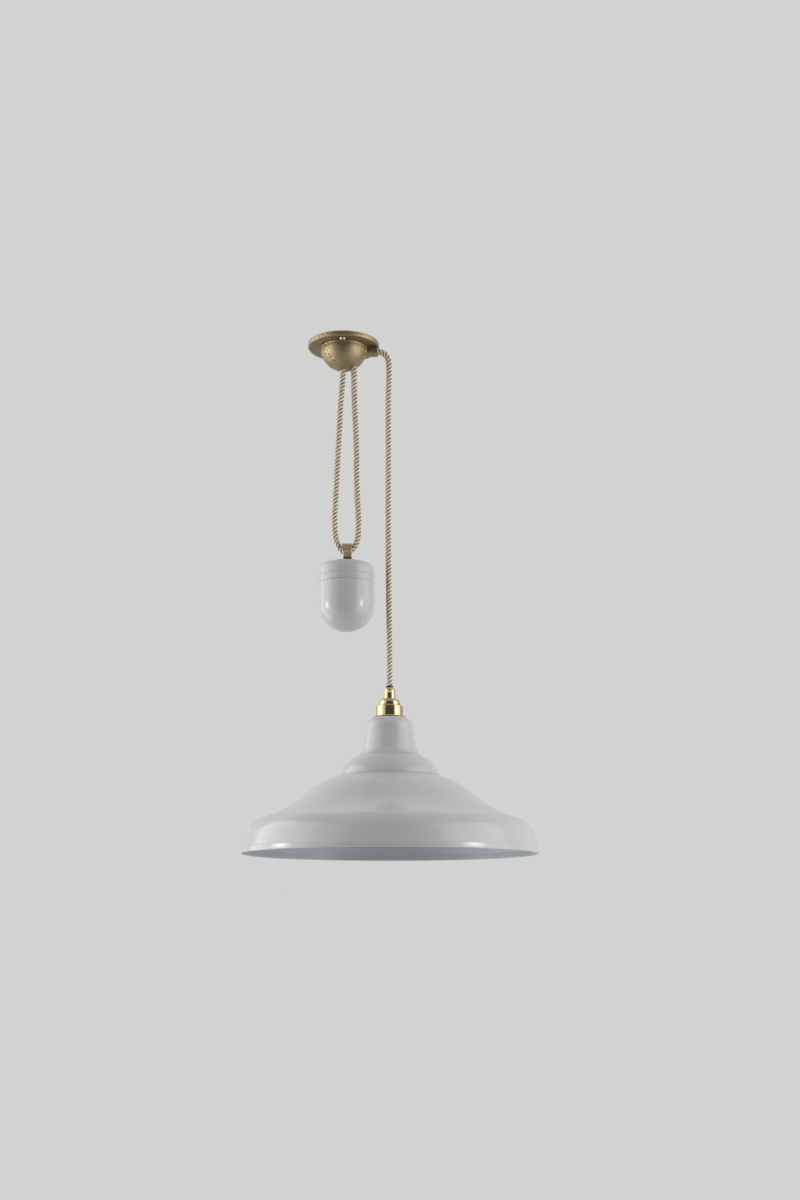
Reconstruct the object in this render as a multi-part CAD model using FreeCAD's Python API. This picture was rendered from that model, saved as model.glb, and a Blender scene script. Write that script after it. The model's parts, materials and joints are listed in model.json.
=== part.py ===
"""Rise and fall pendant: a counterweighted ceiling light on one fabric-covered flex.

Millimetres. The origin is the centre of the ceiling plate on the ceiling, +Z points up, and the
lamp hangs down. +X runs from the weight towards the lamp, and the screws in the plate lie on Y.
"""
import FreeCAD, Part
import math
import os

Vector = FreeCAD.Vector
UP = Vector(0, 0, 1)
ALONG_X = Vector(1, 0, 0)
ALONG_Y = Vector(0, 1, 0)
FULL_TURN = 360
QUARTER_TURN = 90

# ---------------------------------------------------------------- clearances
RUNNING = 0.05        # radial, a shaft that turns or slides in its hole
LOOSE = 0.3           # a hole round a screw, or a pocket round a piece
FLEX_GAP = 0.15       # flex to a pulley that it runs on
PAST = 1.0            # how far a cut runs past the face that it opens

# ---------------------------------------------------------------- screws
SLOT_SHARE = 0.28     # slot's width, as a share of the head's radius
SLOT_DEPTH_SHARE = 0.5
GRUB_SLOT_SHARE = 0.4  # the same for a screw with no head

# ---------------------------------------------------------------- flex
FLEX_R = 3.5
CORE_R = 0.9
CORE_SPREAD = 1.85    # from the middle of the flex to the middle of a core
ARC_SHARE = 0.45      # an arc's tangent, as a share of the shorter run beside it

# ---------------------------------------------------------------- ceiling plate
PLATE_R = 43.0
PLATE_T = 4.0
PLATE_EDGE = 0.9      # rounding of the plate's lower edge
STRAP_W = 12.0
STRAP_T = 2.6
STRAP_END = 5.0       # from a plate screw to the strap's end
CEILING_HOLE_INSET = 12.1  # from the strap's end, which spaces the two holes 50.8 apart
PLATE_SCREW_GAP = 0.2 # between a plate screw's head and the cup's bead
CEILING_HOLE_R = 2.25
CEILING_SINK_DEPTH = 1.6
PLATE_SCREW_R = 2.0
PLATE_SCREW_HEAD_R = 3.7
PLATE_SCREW_HEAD_H = 2.2
CABLE_X = -11.0       # where the supply cable comes through the plate
CABLE_Y = -15.0
CABLE_HOLE_R = 3.2
GROMMET_R = 4.2
GROMMET_FLANGE_R = 5.6
GROMMET_FLANGE_T = 1.5

# ---------------------------------------------------------------- cup with its spout
CUP_R = 28.0
CUP_WALL = 2.0
CUP_BOTTOM_Z = -32.0
CUP_SKIRT_Z = -7.0    # the straight skirt ends here and the bowl begins
CUP_SIDE_ARC_R = 20.0
CUP_BEAD_R = 28.6
CUP_BEAD_T = 1.2
STRAP_L = 2 * (CUP_BEAD_R + PLATE_SCREW_GAP + PLATE_SCREW_HEAD_R + STRAP_END)
FLEX_HOLE_R = 4.5
CUP_BOSS_R = 3.2
CUP_BOSS_DEPTH = 9.0
CUP_BOSS_PLACES = ((-15.6, 15.6), (13.5, -17.3))
CUP_SCREW_R = 1.5
CUP_SCREW_HEAD_R = 2.8
CUP_SCREW_LENGTH = 10.0
SPOUT_END_X = 41.5
SPOUT_Z = -9.0
SPOUT_R = 6.2
SPOUT_BUSH_R = 4.5
SPOUT_BUSH_BORE_R = 3.8
SPOUT_BUSH_L = 11.5
SPOUT_FLARE = 0.6     # how far the bush's mouth opens

# ---------------------------------------------------------------- guide pulley in the cup
GUIDE_FALL_X = 12.4   # the fall that runs over the pulley
GUIDE_PITCH_R = 6.0
GUIDE_RIM_R = 4.2
GUIDE_HALF_W = 4.0
GUIDE_AXLE_R = 1.25
GUIDE_AXLE_HEAD_R = 2.0
GUIDE_AXLE_HEAD_T = 0.8
BRACKET_T = 1.2
BRACKET_HALF_X = 3.0
BRACKET_BASE_HALF_X = 3.5
BRACKET_BASE_HALF_Y = 11.5
BRACKET_BELOW_AXLE = 2.5
BRACKET_SCREW_Y = 8.6
BRACKET_SCREW_R = 1.25
BRACKET_SCREW_HEAD_R = 2.3
BRACKET_SCREW_HEAD_H = 1.6
BRACKET_SCREW_DEPTH = 2.4

# ---------------------------------------------------------------- anchor of the flex's fixed end
FIXED_FALL_X = -0.7
FLEX_TOP_Z = -14.0
ANCHOR_T = 1.5
ANCHOR_NECK_HALF_X = 2.0
ANCHOR_HALF_X = 8.6
ANCHOR_TOP_Z = -17.0
ANCHOR_BOTTOM_Z = -23.0
ANCHOR_FOOT_W = 6.0
ANCHOR_SADDLE_T = 1.4
ANCHOR_SCREW_X = 6.8
ANCHOR_SCREW_R = 1.0
ANCHOR_SCREW_HEAD_R = 1.8
ANCHOR_SCREW_HEAD_H = 1.2
FOOT_SCREW_X = 9.8    # from the flex, clear of the strap's pocket

# ---------------------------------------------------------------- terminal block in the cup
BLOCK_X0 = -20.5
BLOCK_X1 = -11.5
BLOCK_HALF_Y = 7.5
BLOCK_H = 9.0
BLOCK_LUG_L = 4.5
BLOCK_LUG_T = 2.0
POLES = 3
POLE_PITCH = 4.7
POLE_Z = -8.6
BARREL_R = 1.7
BARREL_BORE_R = 1.0
BARREL_INSET = 1.0
POLE_SCREW_R = 1.0
POLE_SCREW_X = -13.8
POLE_SCREW_END_INSET = 0.4
BLOCK_SCREW_R = 1.25
BLOCK_SCREW_HEAD_R = 2.0
BLOCK_SCREW_HEAD_H = 1.2
BLOCK_SCREW_DEPTH = 2.4

# ---------------------------------------------------------------- counterweight
WEIGHT_X = 3.5
WEIGHT_R = 34.0
WEIGHT_TOP_Z = -264.0
LID_SHOULDER_R = 26.0
LID_SHOULDER_DROP = 2.2
LID_MID_DROP = 0.55   # how far the top has dropped halfway to its shoulder
LID_CORNER_Z = -276.0
LID_CORNER_MID = (32.3, -269.8)
LID_LINE_Z = -281.5
LINE_DEPTH = 0.45
WEIGHT_SEAM_Z = -290.0
LID_ROOF_Z = -268.6   # flat underside of the lid
LID_INNER_R = 29.0
LID_ROOF_R = 23.0
LID_SPIGOT_R = 31.0
LID_SPIGOT_H = 6.0
SHELL_WALL = 3.6
SHELL_STRAIGHT_END_Z = -314.0
BALLAST_TOP_Z = -300.2  # gives the weight twice the lamp's mass

# ---------------------------------------------------------------- stirrup and its roller
STIRRUP_W = 12.3
STIRRUP_HALF_DEPTH = 7.5
STIRRUP_T = 1.2
STIRRUP_TOP_Z = -242.4
STIRRUP_CORNER_R = 2.4
STIRRUP_END_Z = -273.5
STIRRUP_EDGE = 0.35
CROSS_PIN_R = 1.5
CROSS_PIN_HALF_L = 11.0
ROLLER_R = 2.0
ROLLER_RIM_R = 2.5
ROLLER_HALF_L = 4.4
ROLLER_PIN_R = 1.0
ROLLER_Z = -247.2

# ---------------------------------------------------------------- shade
LAMP_X = 55.5
SHADE_TOP_Z = -452.3
SHADE_T = 1.2
SHADE_R = 180.1
SHADE_EDGE_Z = -617.5
SHADE_HEM_H = 6.5
SHADE_HEM_STEP = 0.7
SHADE_HOLE_R = 14.5
NECK_TOP = ((20.5, -452.3), (26.2, -456.6), (28.5, -464.6))
NECK_FLARE = ((31.6, -484.0), (33.4, -491.0), (37.0, -498.2))
# The shade's four arcs below its neck share their end points. Each point has a height, and a
# share of the way out from the neck's foot to the edge
ARC_Z = (-498.2, -506.4, -523.1, -533.0, -547.9, -564.5, -575.2, -582.2, -594.2)
ARC_SHARES = (0.0, 0.1006, 0.1691, 0.3333, 0.478, 0.6394, 0.8232, 0.9092, 0.9609)

# ---------------------------------------------------------------- lampholder
HOLDER_FLANGE_R = 19.5
HOLDER_FLANGE_T = 1.1
HOLDER_FLARE_Z = -449.6
HOLDER_FLARE_MID = (17.1, -450.7)
HOLDER_SKIRT_R = 16.4
HOLDER_SHOULDER_Z = -437.7
HOLDER_SHOULDER_T = 1.6
HOLDER_SHOULDER_ROUND = 1.2
THREAD_R = 14.25      # where the barrel screws into the skirt and the shade ring
CAP_SPIGOT_R = 12.0
CAP_BEAD_R = 13.6
CAP_BEAD_T = 1.1
CAP_DOME_R = 12.8
CAP_DOME_TOP_Z = -429.4
CAP_WALL = 0.9
CAP_NECK_R = 5.4
CAP_NECK_TOP_Z = -425.2
CAP_DOME_BULGE = 0.55  # how far the dome's shoulder comes in, as a share of its rise
GRIP_BORE_R = 3.62
GRIP_R = 4.4
GRIP_TOP_Z = -413.4
GRIP_BOTTOM_Z = -424.8
NOZZLE_TOP_Z = -416.0
NOZZLE_SHOULDER = ((4.9, -416.0), (6.3, -418.0), (7.0, -422.0))
NOZZLE_R = 7.0
GRUB_Z = -421.0
GRUB_R = 1.5
GRUB_PROUD = 0.5
SHEATH_END_Z = -431.0
RING_R = 19.5
RING_T = 4.5
RING_NOTCHES = 4      # finger grips round the shade ring
RING_NOTCH_START = 0.5
RING_NOTCH_R = 2.2
BARREL_TOP_Z = -440.0
BARREL_END_Z = -484.0
SOCKET_R = 11.2
SOCKET_STEP_Z = -466.5
POCKET_R = 12.6
SLOT_W = 2.8
SLOT_TOP_Z = -472.4
SLOT_RUN_DEG = 18.0
INSERT_TOP_Z = -447.0
INSERT_FACE_Z = -463.0
INSERT_RIM_T = 1.1
CONTACT_OFFSET = 4.1
PLUNGER_R = 1.85
PLUNGER_SHOULDER_R = 2.5
PLUNGER_SHOULDER_T = 1.5
PLUNGER_STEP_Z = -459.0
PLUNGER_TIP_Z = -466.3
PLUNGER_TIP_ROUND = 0.7
SPRING_R = 1.7
SPRING_WIRE_R = 0.25
SPRING_TURNS = 6
CONTACT_X0 = 1.9      # inner side of a contact terminal, from the lamp's axis
CONTACT_X1 = 8.4
CONTACT_HALF_Y = 3.2
CONTACT_H = 4.6
CONTACT_CORE_X = 6.2
CONTACT_SCREW_R = 1.0
EARTH_Y0 = 5.2
EARTH_Y1 = 10.8
EARTH_HALF_X = 2.6
EARTH_CORE_Y = 8.0
CORE_HOLE_DEPTH = 2.4

# ---------------------------------------------------------------- routes of the flex, (X, Z) at Y = 0
SEAM_Z = -22.33       # the two lengths of flex meet here, inside the cup
LOOP_ROUTE = (
    (FIXED_FALL_X, FLEX_TOP_Z), (FIXED_FALL_X, -36.0), (-3.9, -70.0), (-6.9, -128.0),
    (-9.4, -177.0), (-11.9, -221.0), (-8.2, -243.5), (1.16, -252.85), (5.84, -252.85),
    (16.3, -242.4), (18.3, -218.0), (15.5, -172.0), (15.5, -118.0), (GUIDE_FALL_X, -66.0),
    (GUIDE_FALL_X, SEAM_Z),
)
LAMP_ROUTE = (
    (GUIDE_FALL_X, SEAM_Z), (GUIDE_FALL_X, SPOUT_Z), (46.9, SPOUT_Z), (54.6, -17.2),
    (54.9, -34.0), (53.7, -70.0), (54.1, -130.0), (53.7, -205.0), (54.4, -290.0),
    (LAMP_X, -372.0), (LAMP_X, SHEATH_END_Z),
)


# ================================================================ helpers
def cylinder(x, y, low, high, radius):
    """Upright cylinder between two heights."""
    return Part.makeCylinder(radius, high - low, Vector(x, y, low), UP)


def rod(start, direction, length, radius):
    """Cylinder from a point along any direction."""
    return Part.makeCylinder(radius, length, Vector(*start), direction)


def box(x0, x1, y0, y1, z0, z1):
    """Box between two corners."""
    return Part.makeBox(x1 - x0, y1 - y0, z1 - z0, Vector(x0, y0, z0))


def line(a, b):
    """Edge of a profile between two (radius, height) points."""
    return Part.LineSegment(Vector(a[0], 0, a[1]), Vector(b[0], 0, b[1])).toShape()


def arc(points):
    """Edge of a profile through three (radius, height) points."""
    a, b, c = [Vector(p[0], 0, p[1]) for p in points]
    return Part.Arc(a, b, c).toShape()


def closed_face(edges):
    """Face inside a ring of edges."""
    return Part.Face(Part.Wire(edges))


def outline(points):
    """Face inside straight lines through (radius, height) points."""
    return closed_face([line(a, b) for a, b in zip(points, points[1:] + points[:1])])


def turned(face, x, y=0):
    """Solid of revolution of a profile about the upright line through (x, y)."""
    solid = face.revolve(Vector(0, 0, 0), UP, FULL_TURN)
    return Part.Solid(solid.translated(Vector(x, y, 0)))


def tube(x, y, low, high, inner, outer):
    """Upright ring."""
    return cylinder(x, y, low, high, outer).cut(cylinder(x, y, low, high, inner))


def one_solid(shape):
    """The single solid of a shape, with its seams cleaned."""
    clean = shape.removeSplitter()
    if len(clean.Solids) != 1:
        raise ValueError("expected one solid, got %d" % len(clean.Solids))
    return clean.Solids[0]


def screw(start, direction, shank_r, shank_l, head_r, head_h):
    """Slotted screw. Start is under the head, and direction is the way the shank points."""
    origin = Vector(*start)
    shank = Part.makeCylinder(shank_r, shank_l, origin, direction)
    head = Part.makeCylinder(head_r, head_h, origin, direction * -1)
    slot_w = head_r * SLOT_SHARE
    slot_depth = head_h * SLOT_DEPTH_SHARE
    across = direction.cross(ALONG_X)
    across.normalize()
    side = direction.cross(across)
    corner = origin - direction * head_h - across * slot_w / 2 - side * head_r
    points = [corner, corner + across * slot_w, corner + across * slot_w + side * head_r * 2,
              corner + side * head_r * 2]
    slot = Part.Face(Part.makePolygon(points + points[:1])).extrude(direction * slot_depth)
    return one_solid(shank.fuse(head).cut(slot))


def sunk_screw(x, y, top, shank_r, shank_l, head_r):
    """Countersunk slotted screw that points down, with its head flush at top."""
    head_h = head_r - shank_r
    head = Part.makeCone(shank_r, head_r, head_h, Vector(x, y, top - head_h), UP)
    shank = cylinder(x, y, top - shank_l, top - head_h, shank_r)
    slot_w = head_r * SLOT_SHARE
    slot = box(x - head_r, x + head_r, y - slot_w / 2, y + slot_w / 2,
               top - head_h * SLOT_DEPTH_SHARE, top)
    return one_solid(head.fuse(shank).cut(slot))


def tube_along(points, radius, name):
    """Solid tube along straight runs joined by tangent arcs, as large as the runs allow."""
    corners = [Vector(*p) for p in points]
    edges = []
    here = corners[0]
    radii = []
    for before, corner, after in zip(corners, corners[1:], corners[2:]):
        into = corner - before
        out = after - corner
        shorter = min(into.Length, out.Length)
        half_turn = into.getAngle(out) / 2
        into.normalize()
        out.normalize()
        reach = ARC_SHARE * shorter
        radii.append(reach / math.tan(half_turn))
        start = corner - into * reach
        end = corner + out * reach
        inward = out - into
        inward.normalize()
        sagitta = radii[-1] * (1 / math.cos(half_turn) - 1)
        edges.append(Part.LineSegment(here, start).toShape())
        edges.append(Part.Arc(start, corner + inward * sagitta, end).toShape())
        here = end
    edges.append(Part.LineSegment(here, corners[-1]).toShape())
    path = Part.Wire(edges)
    first = corners[1] - corners[0]
    section = Part.Wire(Part.Circle(corners[0], first, radius).toShape())
    solid = Part.Solid(path.makePipeShell([section], True, True))
    expected = math.pi * radius ** 2 * path.Length
    print("%s: length %.1f, radii %s, volume / (section x length) %.4f"
          % (name, path.Length, [round(r, 1) for r in radii], solid.Volume / expected))
    return solid


# ================================================================ ceiling plate and cup
def ceiling_hole_y():
    """Distance from the strap's middle to a ceiling screw."""
    return STRAP_L / 2 - CEILING_HOLE_INSET


def plate_screw_y():
    """Distance from the strap's middle to a screw that holds the plate."""
    return STRAP_L / 2 - STRAP_END


def mounting_strap():
    """Steel strap that the ceiling screws hold. Its ends are tapped for the plate's screws."""
    strap = box(-STRAP_W / 2, STRAP_W / 2, -STRAP_L / 2, STRAP_L / 2, -STRAP_T, 0)
    for side in (-1, 1):
        y = side * ceiling_hole_y()
        strap = strap.cut(cylinder(0, y, -STRAP_T, 0, CEILING_HOLE_R))
        sink = Part.makeCone(CEILING_HOLE_R + CEILING_SINK_DEPTH, CEILING_HOLE_R,
                             CEILING_SINK_DEPTH, Vector(0, y, -STRAP_T), UP)
        strap = strap.cut(sink)
        strap = strap.cut(cylinder(0, side * plate_screw_y(), -STRAP_T, 0, PLATE_SCREW_R))
    return one_solid(strap)


def strap_recess():
    """Pocket in the plate's top that the strap lies in."""
    half_w = STRAP_W / 2 + LOOSE
    half_l = STRAP_L / 2 + LOOSE
    return box(-half_w, half_w, -half_l, half_l, -STRAP_T - RUNNING, 0)


def bracket_screw_places():
    """(x, y) of the two screws that hold the guide pulley's bracket."""
    return [(guide_x(), side * BRACKET_SCREW_Y) for side in (-1, 1)]


def block_screw_place():
    """(x, y) of the screw in the terminal block's lug."""
    return ((BLOCK_X0 + BLOCK_X1) / 2, BLOCK_HALF_Y + BLOCK_LUG_L / 2)


def foot_screw_place():
    """(x, y) of the screw in the anchor's foot."""
    return (FIXED_FALL_X + FOOT_SCREW_X, FLEX_R + ANCHOR_FOOT_W / 2)


def ceiling_plate():
    """Cast brass disc with a pocket for the strap and holes for its screws and the supply cable."""
    disc = cylinder(0, 0, -PLATE_T, 0, PLATE_R)
    lower_edge = [e for e in disc.Edges if abs(e.BoundBox.ZMax + PLATE_T) < RUNNING
                  and abs(e.BoundBox.ZLength) < RUNNING]
    plate = disc.makeFillet(PLATE_EDGE, lower_edge).cut(strap_recess())
    for side in (-1, 1):
        plate = plate.cut(cylinder(0, side * plate_screw_y(), -PLATE_T, 0, PLATE_SCREW_R + RUNNING))
    for x, y in CUP_BOSS_PLACES:
        plate = plate.cut(cylinder(x, y, -PLATE_T, 0, CUP_SCREW_R))
        sink_h = CUP_SCREW_HEAD_R - CUP_SCREW_R
        plate = plate.cut(Part.makeCone(CUP_SCREW_R, CUP_SCREW_HEAD_R, sink_h,
                                        Vector(x, y, -sink_h), UP))
    for x, y in bracket_screw_places():
        plate = plate.cut(cylinder(x, y, -PLATE_T, BRACKET_SCREW_DEPTH - PLATE_T, BRACKET_SCREW_R))
    for x, y in (block_screw_place(), foot_screw_place()):
        plate = plate.cut(cylinder(x, y, -PLATE_T, BLOCK_SCREW_DEPTH - PLATE_T, BLOCK_SCREW_R))
    return one_solid(plate.cut(cylinder(CABLE_X, CABLE_Y, -PLATE_T, 0, GROMMET_R)))


def plate_screw(side):
    """Screw that holds the plate to the strap, front or back."""
    return screw((0, side * plate_screw_y(), -PLATE_T), UP, PLATE_SCREW_R, PLATE_T,
                 PLATE_SCREW_HEAD_R, PLATE_SCREW_HEAD_H)


def cable_grommet():
    """Bush that the supply cable comes through, with its flange inside the cup."""
    neck = tube(CABLE_X, CABLE_Y, -PLATE_T, 0, CABLE_HOLE_R, GROMMET_R)
    flange = tube(CABLE_X, CABLE_Y, -PLATE_T - GROMMET_FLANGE_T, -PLATE_T, CABLE_HOLE_R,
                  GROMMET_FLANGE_R)
    return one_solid(neck.fuse(flange))


def bowl(radius_off, top):
    """Solid bowl: a straight skirt, a side arc and a bottom arc that meets it, set in by radius_off."""
    side_r = CUP_SIDE_ARC_R - radius_off
    side_x = CUP_R - CUP_SIDE_ARC_R
    depth = CUP_SKIRT_Z - CUP_BOTTOM_Z
    bottom_r = ((2 * CUP_R * CUP_SIDE_ARC_R - CUP_R ** 2 - depth ** 2)
                / (2 * (CUP_SIDE_ARC_R - depth)))
    bottom_z = CUP_BOTTOM_Z + bottom_r
    lean = math.atan2(side_x, bottom_z - CUP_SKIRT_Z)
    join = (side_x + side_r * math.sin(lean), CUP_SKIRT_Z - side_r * math.cos(lean))
    middle_angle = (math.pi / 2 + lean) / 2
    side_mid = (side_x + side_r * math.sin(middle_angle), CUP_SKIRT_Z - side_r * math.cos(middle_angle))
    low_r = bottom_r - radius_off
    low_mid = (low_r * math.sin(lean / 2), bottom_z - low_r * math.cos(lean / 2))
    low_end = (0, bottom_z - low_r)
    edges = [line((0, top), (side_x + side_r, top)),
             line((side_x + side_r, top), (side_x + side_r, CUP_SKIRT_Z)),
             arc(((side_x + side_r, CUP_SKIRT_Z), side_mid, join)),
             arc((join, low_mid, low_end)),
             line(low_end, (0, top))]
    return turned(closed_face(edges), 0)


def spout():
    """Outside of the spout: round below, straight up to the plate, from the cup's middle."""
    round_part = rod((0, 0, SPOUT_Z), ALONG_X, SPOUT_END_X, SPOUT_R)
    upper = box(0, SPOUT_END_X, -SPOUT_R, SPOUT_R, SPOUT_Z, -PLATE_T)
    return round_part.fuse(upper).common(box(0, SPOUT_END_X, -SPOUT_R, SPOUT_R,
                                             SPOUT_Z - SPOUT_R, -PLATE_T))


def pulley_cup():
    """Cast brass bowl and spout, with two holes for the flex and two bosses for its screws."""
    outside = bowl(0, -PLATE_T)
    bead = cylinder(0, 0, -PLATE_T - CUP_BEAD_T, -PLATE_T, CUP_BEAD_R)
    inside = bowl(CUP_WALL, -PLATE_T)
    bosses = [cylinder(x, y, -PLATE_T - CUP_BOSS_DEPTH, -PLATE_T, CUP_BOSS_R).common(outside)
              for x, y in CUP_BOSS_PLACES]
    wedge = [cylinder(x, y, CUP_BOTTOM_Z, -PLATE_T - CUP_BOSS_DEPTH, CUP_BOSS_R).common(outside)
             for x, y in CUP_BOSS_PLACES]
    cup = outside.fuse([bead, spout()]).cut(inside).fuse(bosses).fuse(
        [w.common(outside.cut(inside)) for w in wedge])
    for x, y in CUP_BOSS_PLACES:
        cup = cup.cut(cylinder(x, y, -CUP_SCREW_LENGTH, -PLATE_T, CUP_SCREW_R))
    for x in (FIXED_FALL_X, GUIDE_FALL_X):
        cup = cup.cut(cylinder(x, 0, CUP_BOTTOM_Z, SPOUT_Z, FLEX_HOLE_R))
    bush_x = SPOUT_END_X - SPOUT_BUSH_L
    cup = cup.cut(rod((bush_x, 0, SPOUT_Z), ALONG_X, SPOUT_BUSH_L, SPOUT_BUSH_R))
    return one_solid(cup.cut(rod((GUIDE_FALL_X, 0, SPOUT_Z), ALONG_X, SPOUT_END_X - GUIDE_FALL_X,
                                 SPOUT_BUSH_BORE_R + LOOSE)))


def cup_screw(index):
    """Countersunk screw from the plate's top into a boss of the cup."""
    x, y = CUP_BOSS_PLACES[index]
    return sunk_screw(x, y, 0, CUP_SCREW_R, CUP_SCREW_LENGTH, CUP_SCREW_HEAD_R)


def spout_bush():
    """Smooth bush in the spout, with a mouth that opens where the flex turns down."""
    bush_x = SPOUT_END_X - SPOUT_BUSH_L
    bush = rod((bush_x, 0, SPOUT_Z), ALONG_X, SPOUT_BUSH_L, SPOUT_BUSH_R)
    bush = bush.cut(rod((bush_x, 0, SPOUT_Z), ALONG_X, SPOUT_BUSH_L, SPOUT_BUSH_BORE_R))
    mouth = Part.makeCone(SPOUT_BUSH_BORE_R, SPOUT_BUSH_BORE_R + SPOUT_FLARE, SPOUT_FLARE * 2,
                          Vector(SPOUT_END_X - SPOUT_FLARE * 2, 0, SPOUT_Z), ALONG_X)
    return one_solid(bush.cut(mouth))


# ================================================================ guide pulley
def guide_x():
    """The guide pulley's axis lies one pitch radius beyond the fall that runs over it."""
    return GUIDE_FALL_X + GUIDE_PITCH_R


def guide_z():
    """The flex leaves the pulley's top level with the spout."""
    return SPOUT_Z - GUIDE_PITCH_R


def grooved(half_l, rim_r, pitch_r, bore_r):
    """Roller along Y about the origin, with a round groove that clears the flex."""
    body = rod((0, -half_l, 0), ALONG_Y, 2 * half_l, rim_r)
    groove = Part.makeTorus(pitch_r, FLEX_R + FLEX_GAP, Vector(0, 0, 0), ALONG_Y)
    return body.cut(groove).cut(rod((0, -half_l, 0), ALONG_Y, 2 * half_l, bore_r))


def guide_pulley():
    """Small grooved pulley that turns the flex from the loop to the spout."""
    wheel = grooved(GUIDE_HALF_W, GUIDE_RIM_R, GUIDE_PITCH_R, GUIDE_AXLE_R + RUNNING)
    return one_solid(wheel.translated(Vector(guide_x(), 0, guide_z())))


def cheek_outside():
    """Distance from Y = 0 to the outside of the bracket's cheeks."""
    return GUIDE_HALF_W + LOOSE + BRACKET_T


def guide_bracket():
    """Bracket with a base on the plate and two cheeks that hold the pulley's axle."""
    x, z = guide_x(), guide_z()
    bracket = box(x - BRACKET_BASE_HALF_X, x + BRACKET_BASE_HALF_X, -BRACKET_BASE_HALF_Y,
                  BRACKET_BASE_HALF_Y, -PLATE_T - BRACKET_T, -PLATE_T)
    outside = cheek_outside()
    for y0 in (-outside, outside - BRACKET_T):
        bracket = bracket.fuse(box(x - BRACKET_HALF_X, x + BRACKET_HALF_X, y0, y0 + BRACKET_T,
                                   z - BRACKET_BELOW_AXLE, -PLATE_T))
    bracket = bracket.cut(rod((x, -outside, z), ALONG_Y, 2 * outside, GUIDE_AXLE_R))
    for sx, sy in bracket_screw_places():
        bracket = bracket.cut(cylinder(sx, sy, -PLATE_T - BRACKET_T, -PLATE_T,
                                       BRACKET_SCREW_R + RUNNING))
    return one_solid(bracket)


def guide_axle():
    """Headed pin through the bracket's cheeks."""
    x, z = guide_x(), guide_z()
    outside = cheek_outside()
    pin = rod((x, -outside, z), ALONG_Y, 2 * outside, GUIDE_AXLE_R)
    return one_solid(pin.fuse(rod((x, outside, z), ALONG_Y, GUIDE_AXLE_HEAD_T, GUIDE_AXLE_HEAD_R)))


def bracket_screw(index):
    """Screw that holds the bracket's base to the plate."""
    x, y = bracket_screw_places()[index]
    return screw((x, y, -PLATE_T - BRACKET_T), UP, BRACKET_SCREW_R, BRACKET_T + BRACKET_SCREW_DEPTH,
                 BRACKET_SCREW_HEAD_R, BRACKET_SCREW_HEAD_H)


# ================================================================ anchor and terminals in the cup
def anchor_leg():
    """Plate behind the flex's fixed end, with a foot that is screwed to the ceiling plate."""
    y0, y1 = FLEX_R, FLEX_R + ANCHOR_T
    x = FIXED_FALL_X
    leg = box(x - ANCHOR_NECK_HALF_X, x + ANCHOR_NECK_HALF_X, y0, y1, ANCHOR_BOTTOM_Z, -PLATE_T)
    leg = leg.fuse(box(x - ANCHOR_HALF_X, x + ANCHOR_HALF_X, y0, y1, ANCHOR_BOTTOM_Z, ANCHOR_TOP_Z))
    sx, sy = foot_screw_place()
    leg = leg.fuse(box(x - ANCHOR_NECK_HALF_X, sx + BLOCK_SCREW_HEAD_R, y0, y0 + ANCHOR_FOOT_W,
                       -PLATE_T - ANCHOR_T, -PLATE_T))
    leg = leg.cut(cylinder(sx, sy, -PLATE_T - ANCHOR_T, -PLATE_T, BLOCK_SCREW_R + RUNNING))
    for place in anchor_screw_places():
        leg = leg.cut(rod((place[0], y0, place[1]), ALONG_Y, ANCHOR_T, ANCHOR_SCREW_R))
    return one_solid(leg)


def anchor_screw_places():
    """(x, z) of the two screws that draw the saddle to the leg."""
    z = (ANCHOR_TOP_Z + ANCHOR_BOTTOM_Z) / 2
    return [(FIXED_FALL_X + side * ANCHOR_SCREW_X, z) for side in (-1, 1)]


def anchor_saddle():
    """Bent strap over the front of the flex, with a wing on each side."""
    x = FIXED_FALL_X
    wing_y = FLEX_R - ANCHOR_SADDLE_T
    saddle = box(x - ANCHOR_HALF_X, x + ANCHOR_HALF_X, wing_y, FLEX_R, ANCHOR_BOTTOM_Z, ANCHOR_TOP_Z)
    saddle = saddle.fuse(cylinder(x, 0, ANCHOR_BOTTOM_Z, ANCHOR_TOP_Z, FLEX_R + ANCHOR_SADDLE_T))
    behind = box(x - ANCHOR_HALF_X, x + ANCHOR_HALF_X, FLEX_R, FLEX_R * 2, ANCHOR_BOTTOM_Z,
                 ANCHOR_TOP_Z)
    throat = box(x - FLEX_R, x + FLEX_R, 0, FLEX_R, ANCHOR_BOTTOM_Z, ANCHOR_TOP_Z)
    saddle = saddle.cut(behind).cut(cylinder(x, 0, ANCHOR_BOTTOM_Z, ANCHOR_TOP_Z, FLEX_R)).cut(throat)
    for sx, sz in anchor_screw_places():
        saddle = saddle.cut(rod((sx, 0, sz), ALONG_Y, FLEX_R, ANCHOR_SCREW_R + RUNNING))
    return one_solid(saddle)


def anchor_screw(index):
    """Screw through a wing of the saddle into the leg."""
    x, z = anchor_screw_places()[index]
    return screw((x, FLEX_R - ANCHOR_SADDLE_T, z), ALONG_Y, ANCHOR_SCREW_R,
                 ANCHOR_SADDLE_T + ANCHOR_T, ANCHOR_SCREW_HEAD_R, ANCHOR_SCREW_HEAD_H)


def foot_screw():
    """Screw that holds the anchor's foot to the plate."""
    x, y = foot_screw_place()
    return screw((x, y, -PLATE_T - ANCHOR_T), UP, BLOCK_SCREW_R, ANCHOR_T + BLOCK_SCREW_DEPTH,
                 BLOCK_SCREW_HEAD_R, BLOCK_SCREW_HEAD_H)


def middle_out(index):
    """Steps from the middle pole or core."""
    return index - (POLES - 1) / 2


def pole_y(index):
    """Y of a pole of the terminal block."""
    return middle_out(index) * POLE_PITCH


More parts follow.
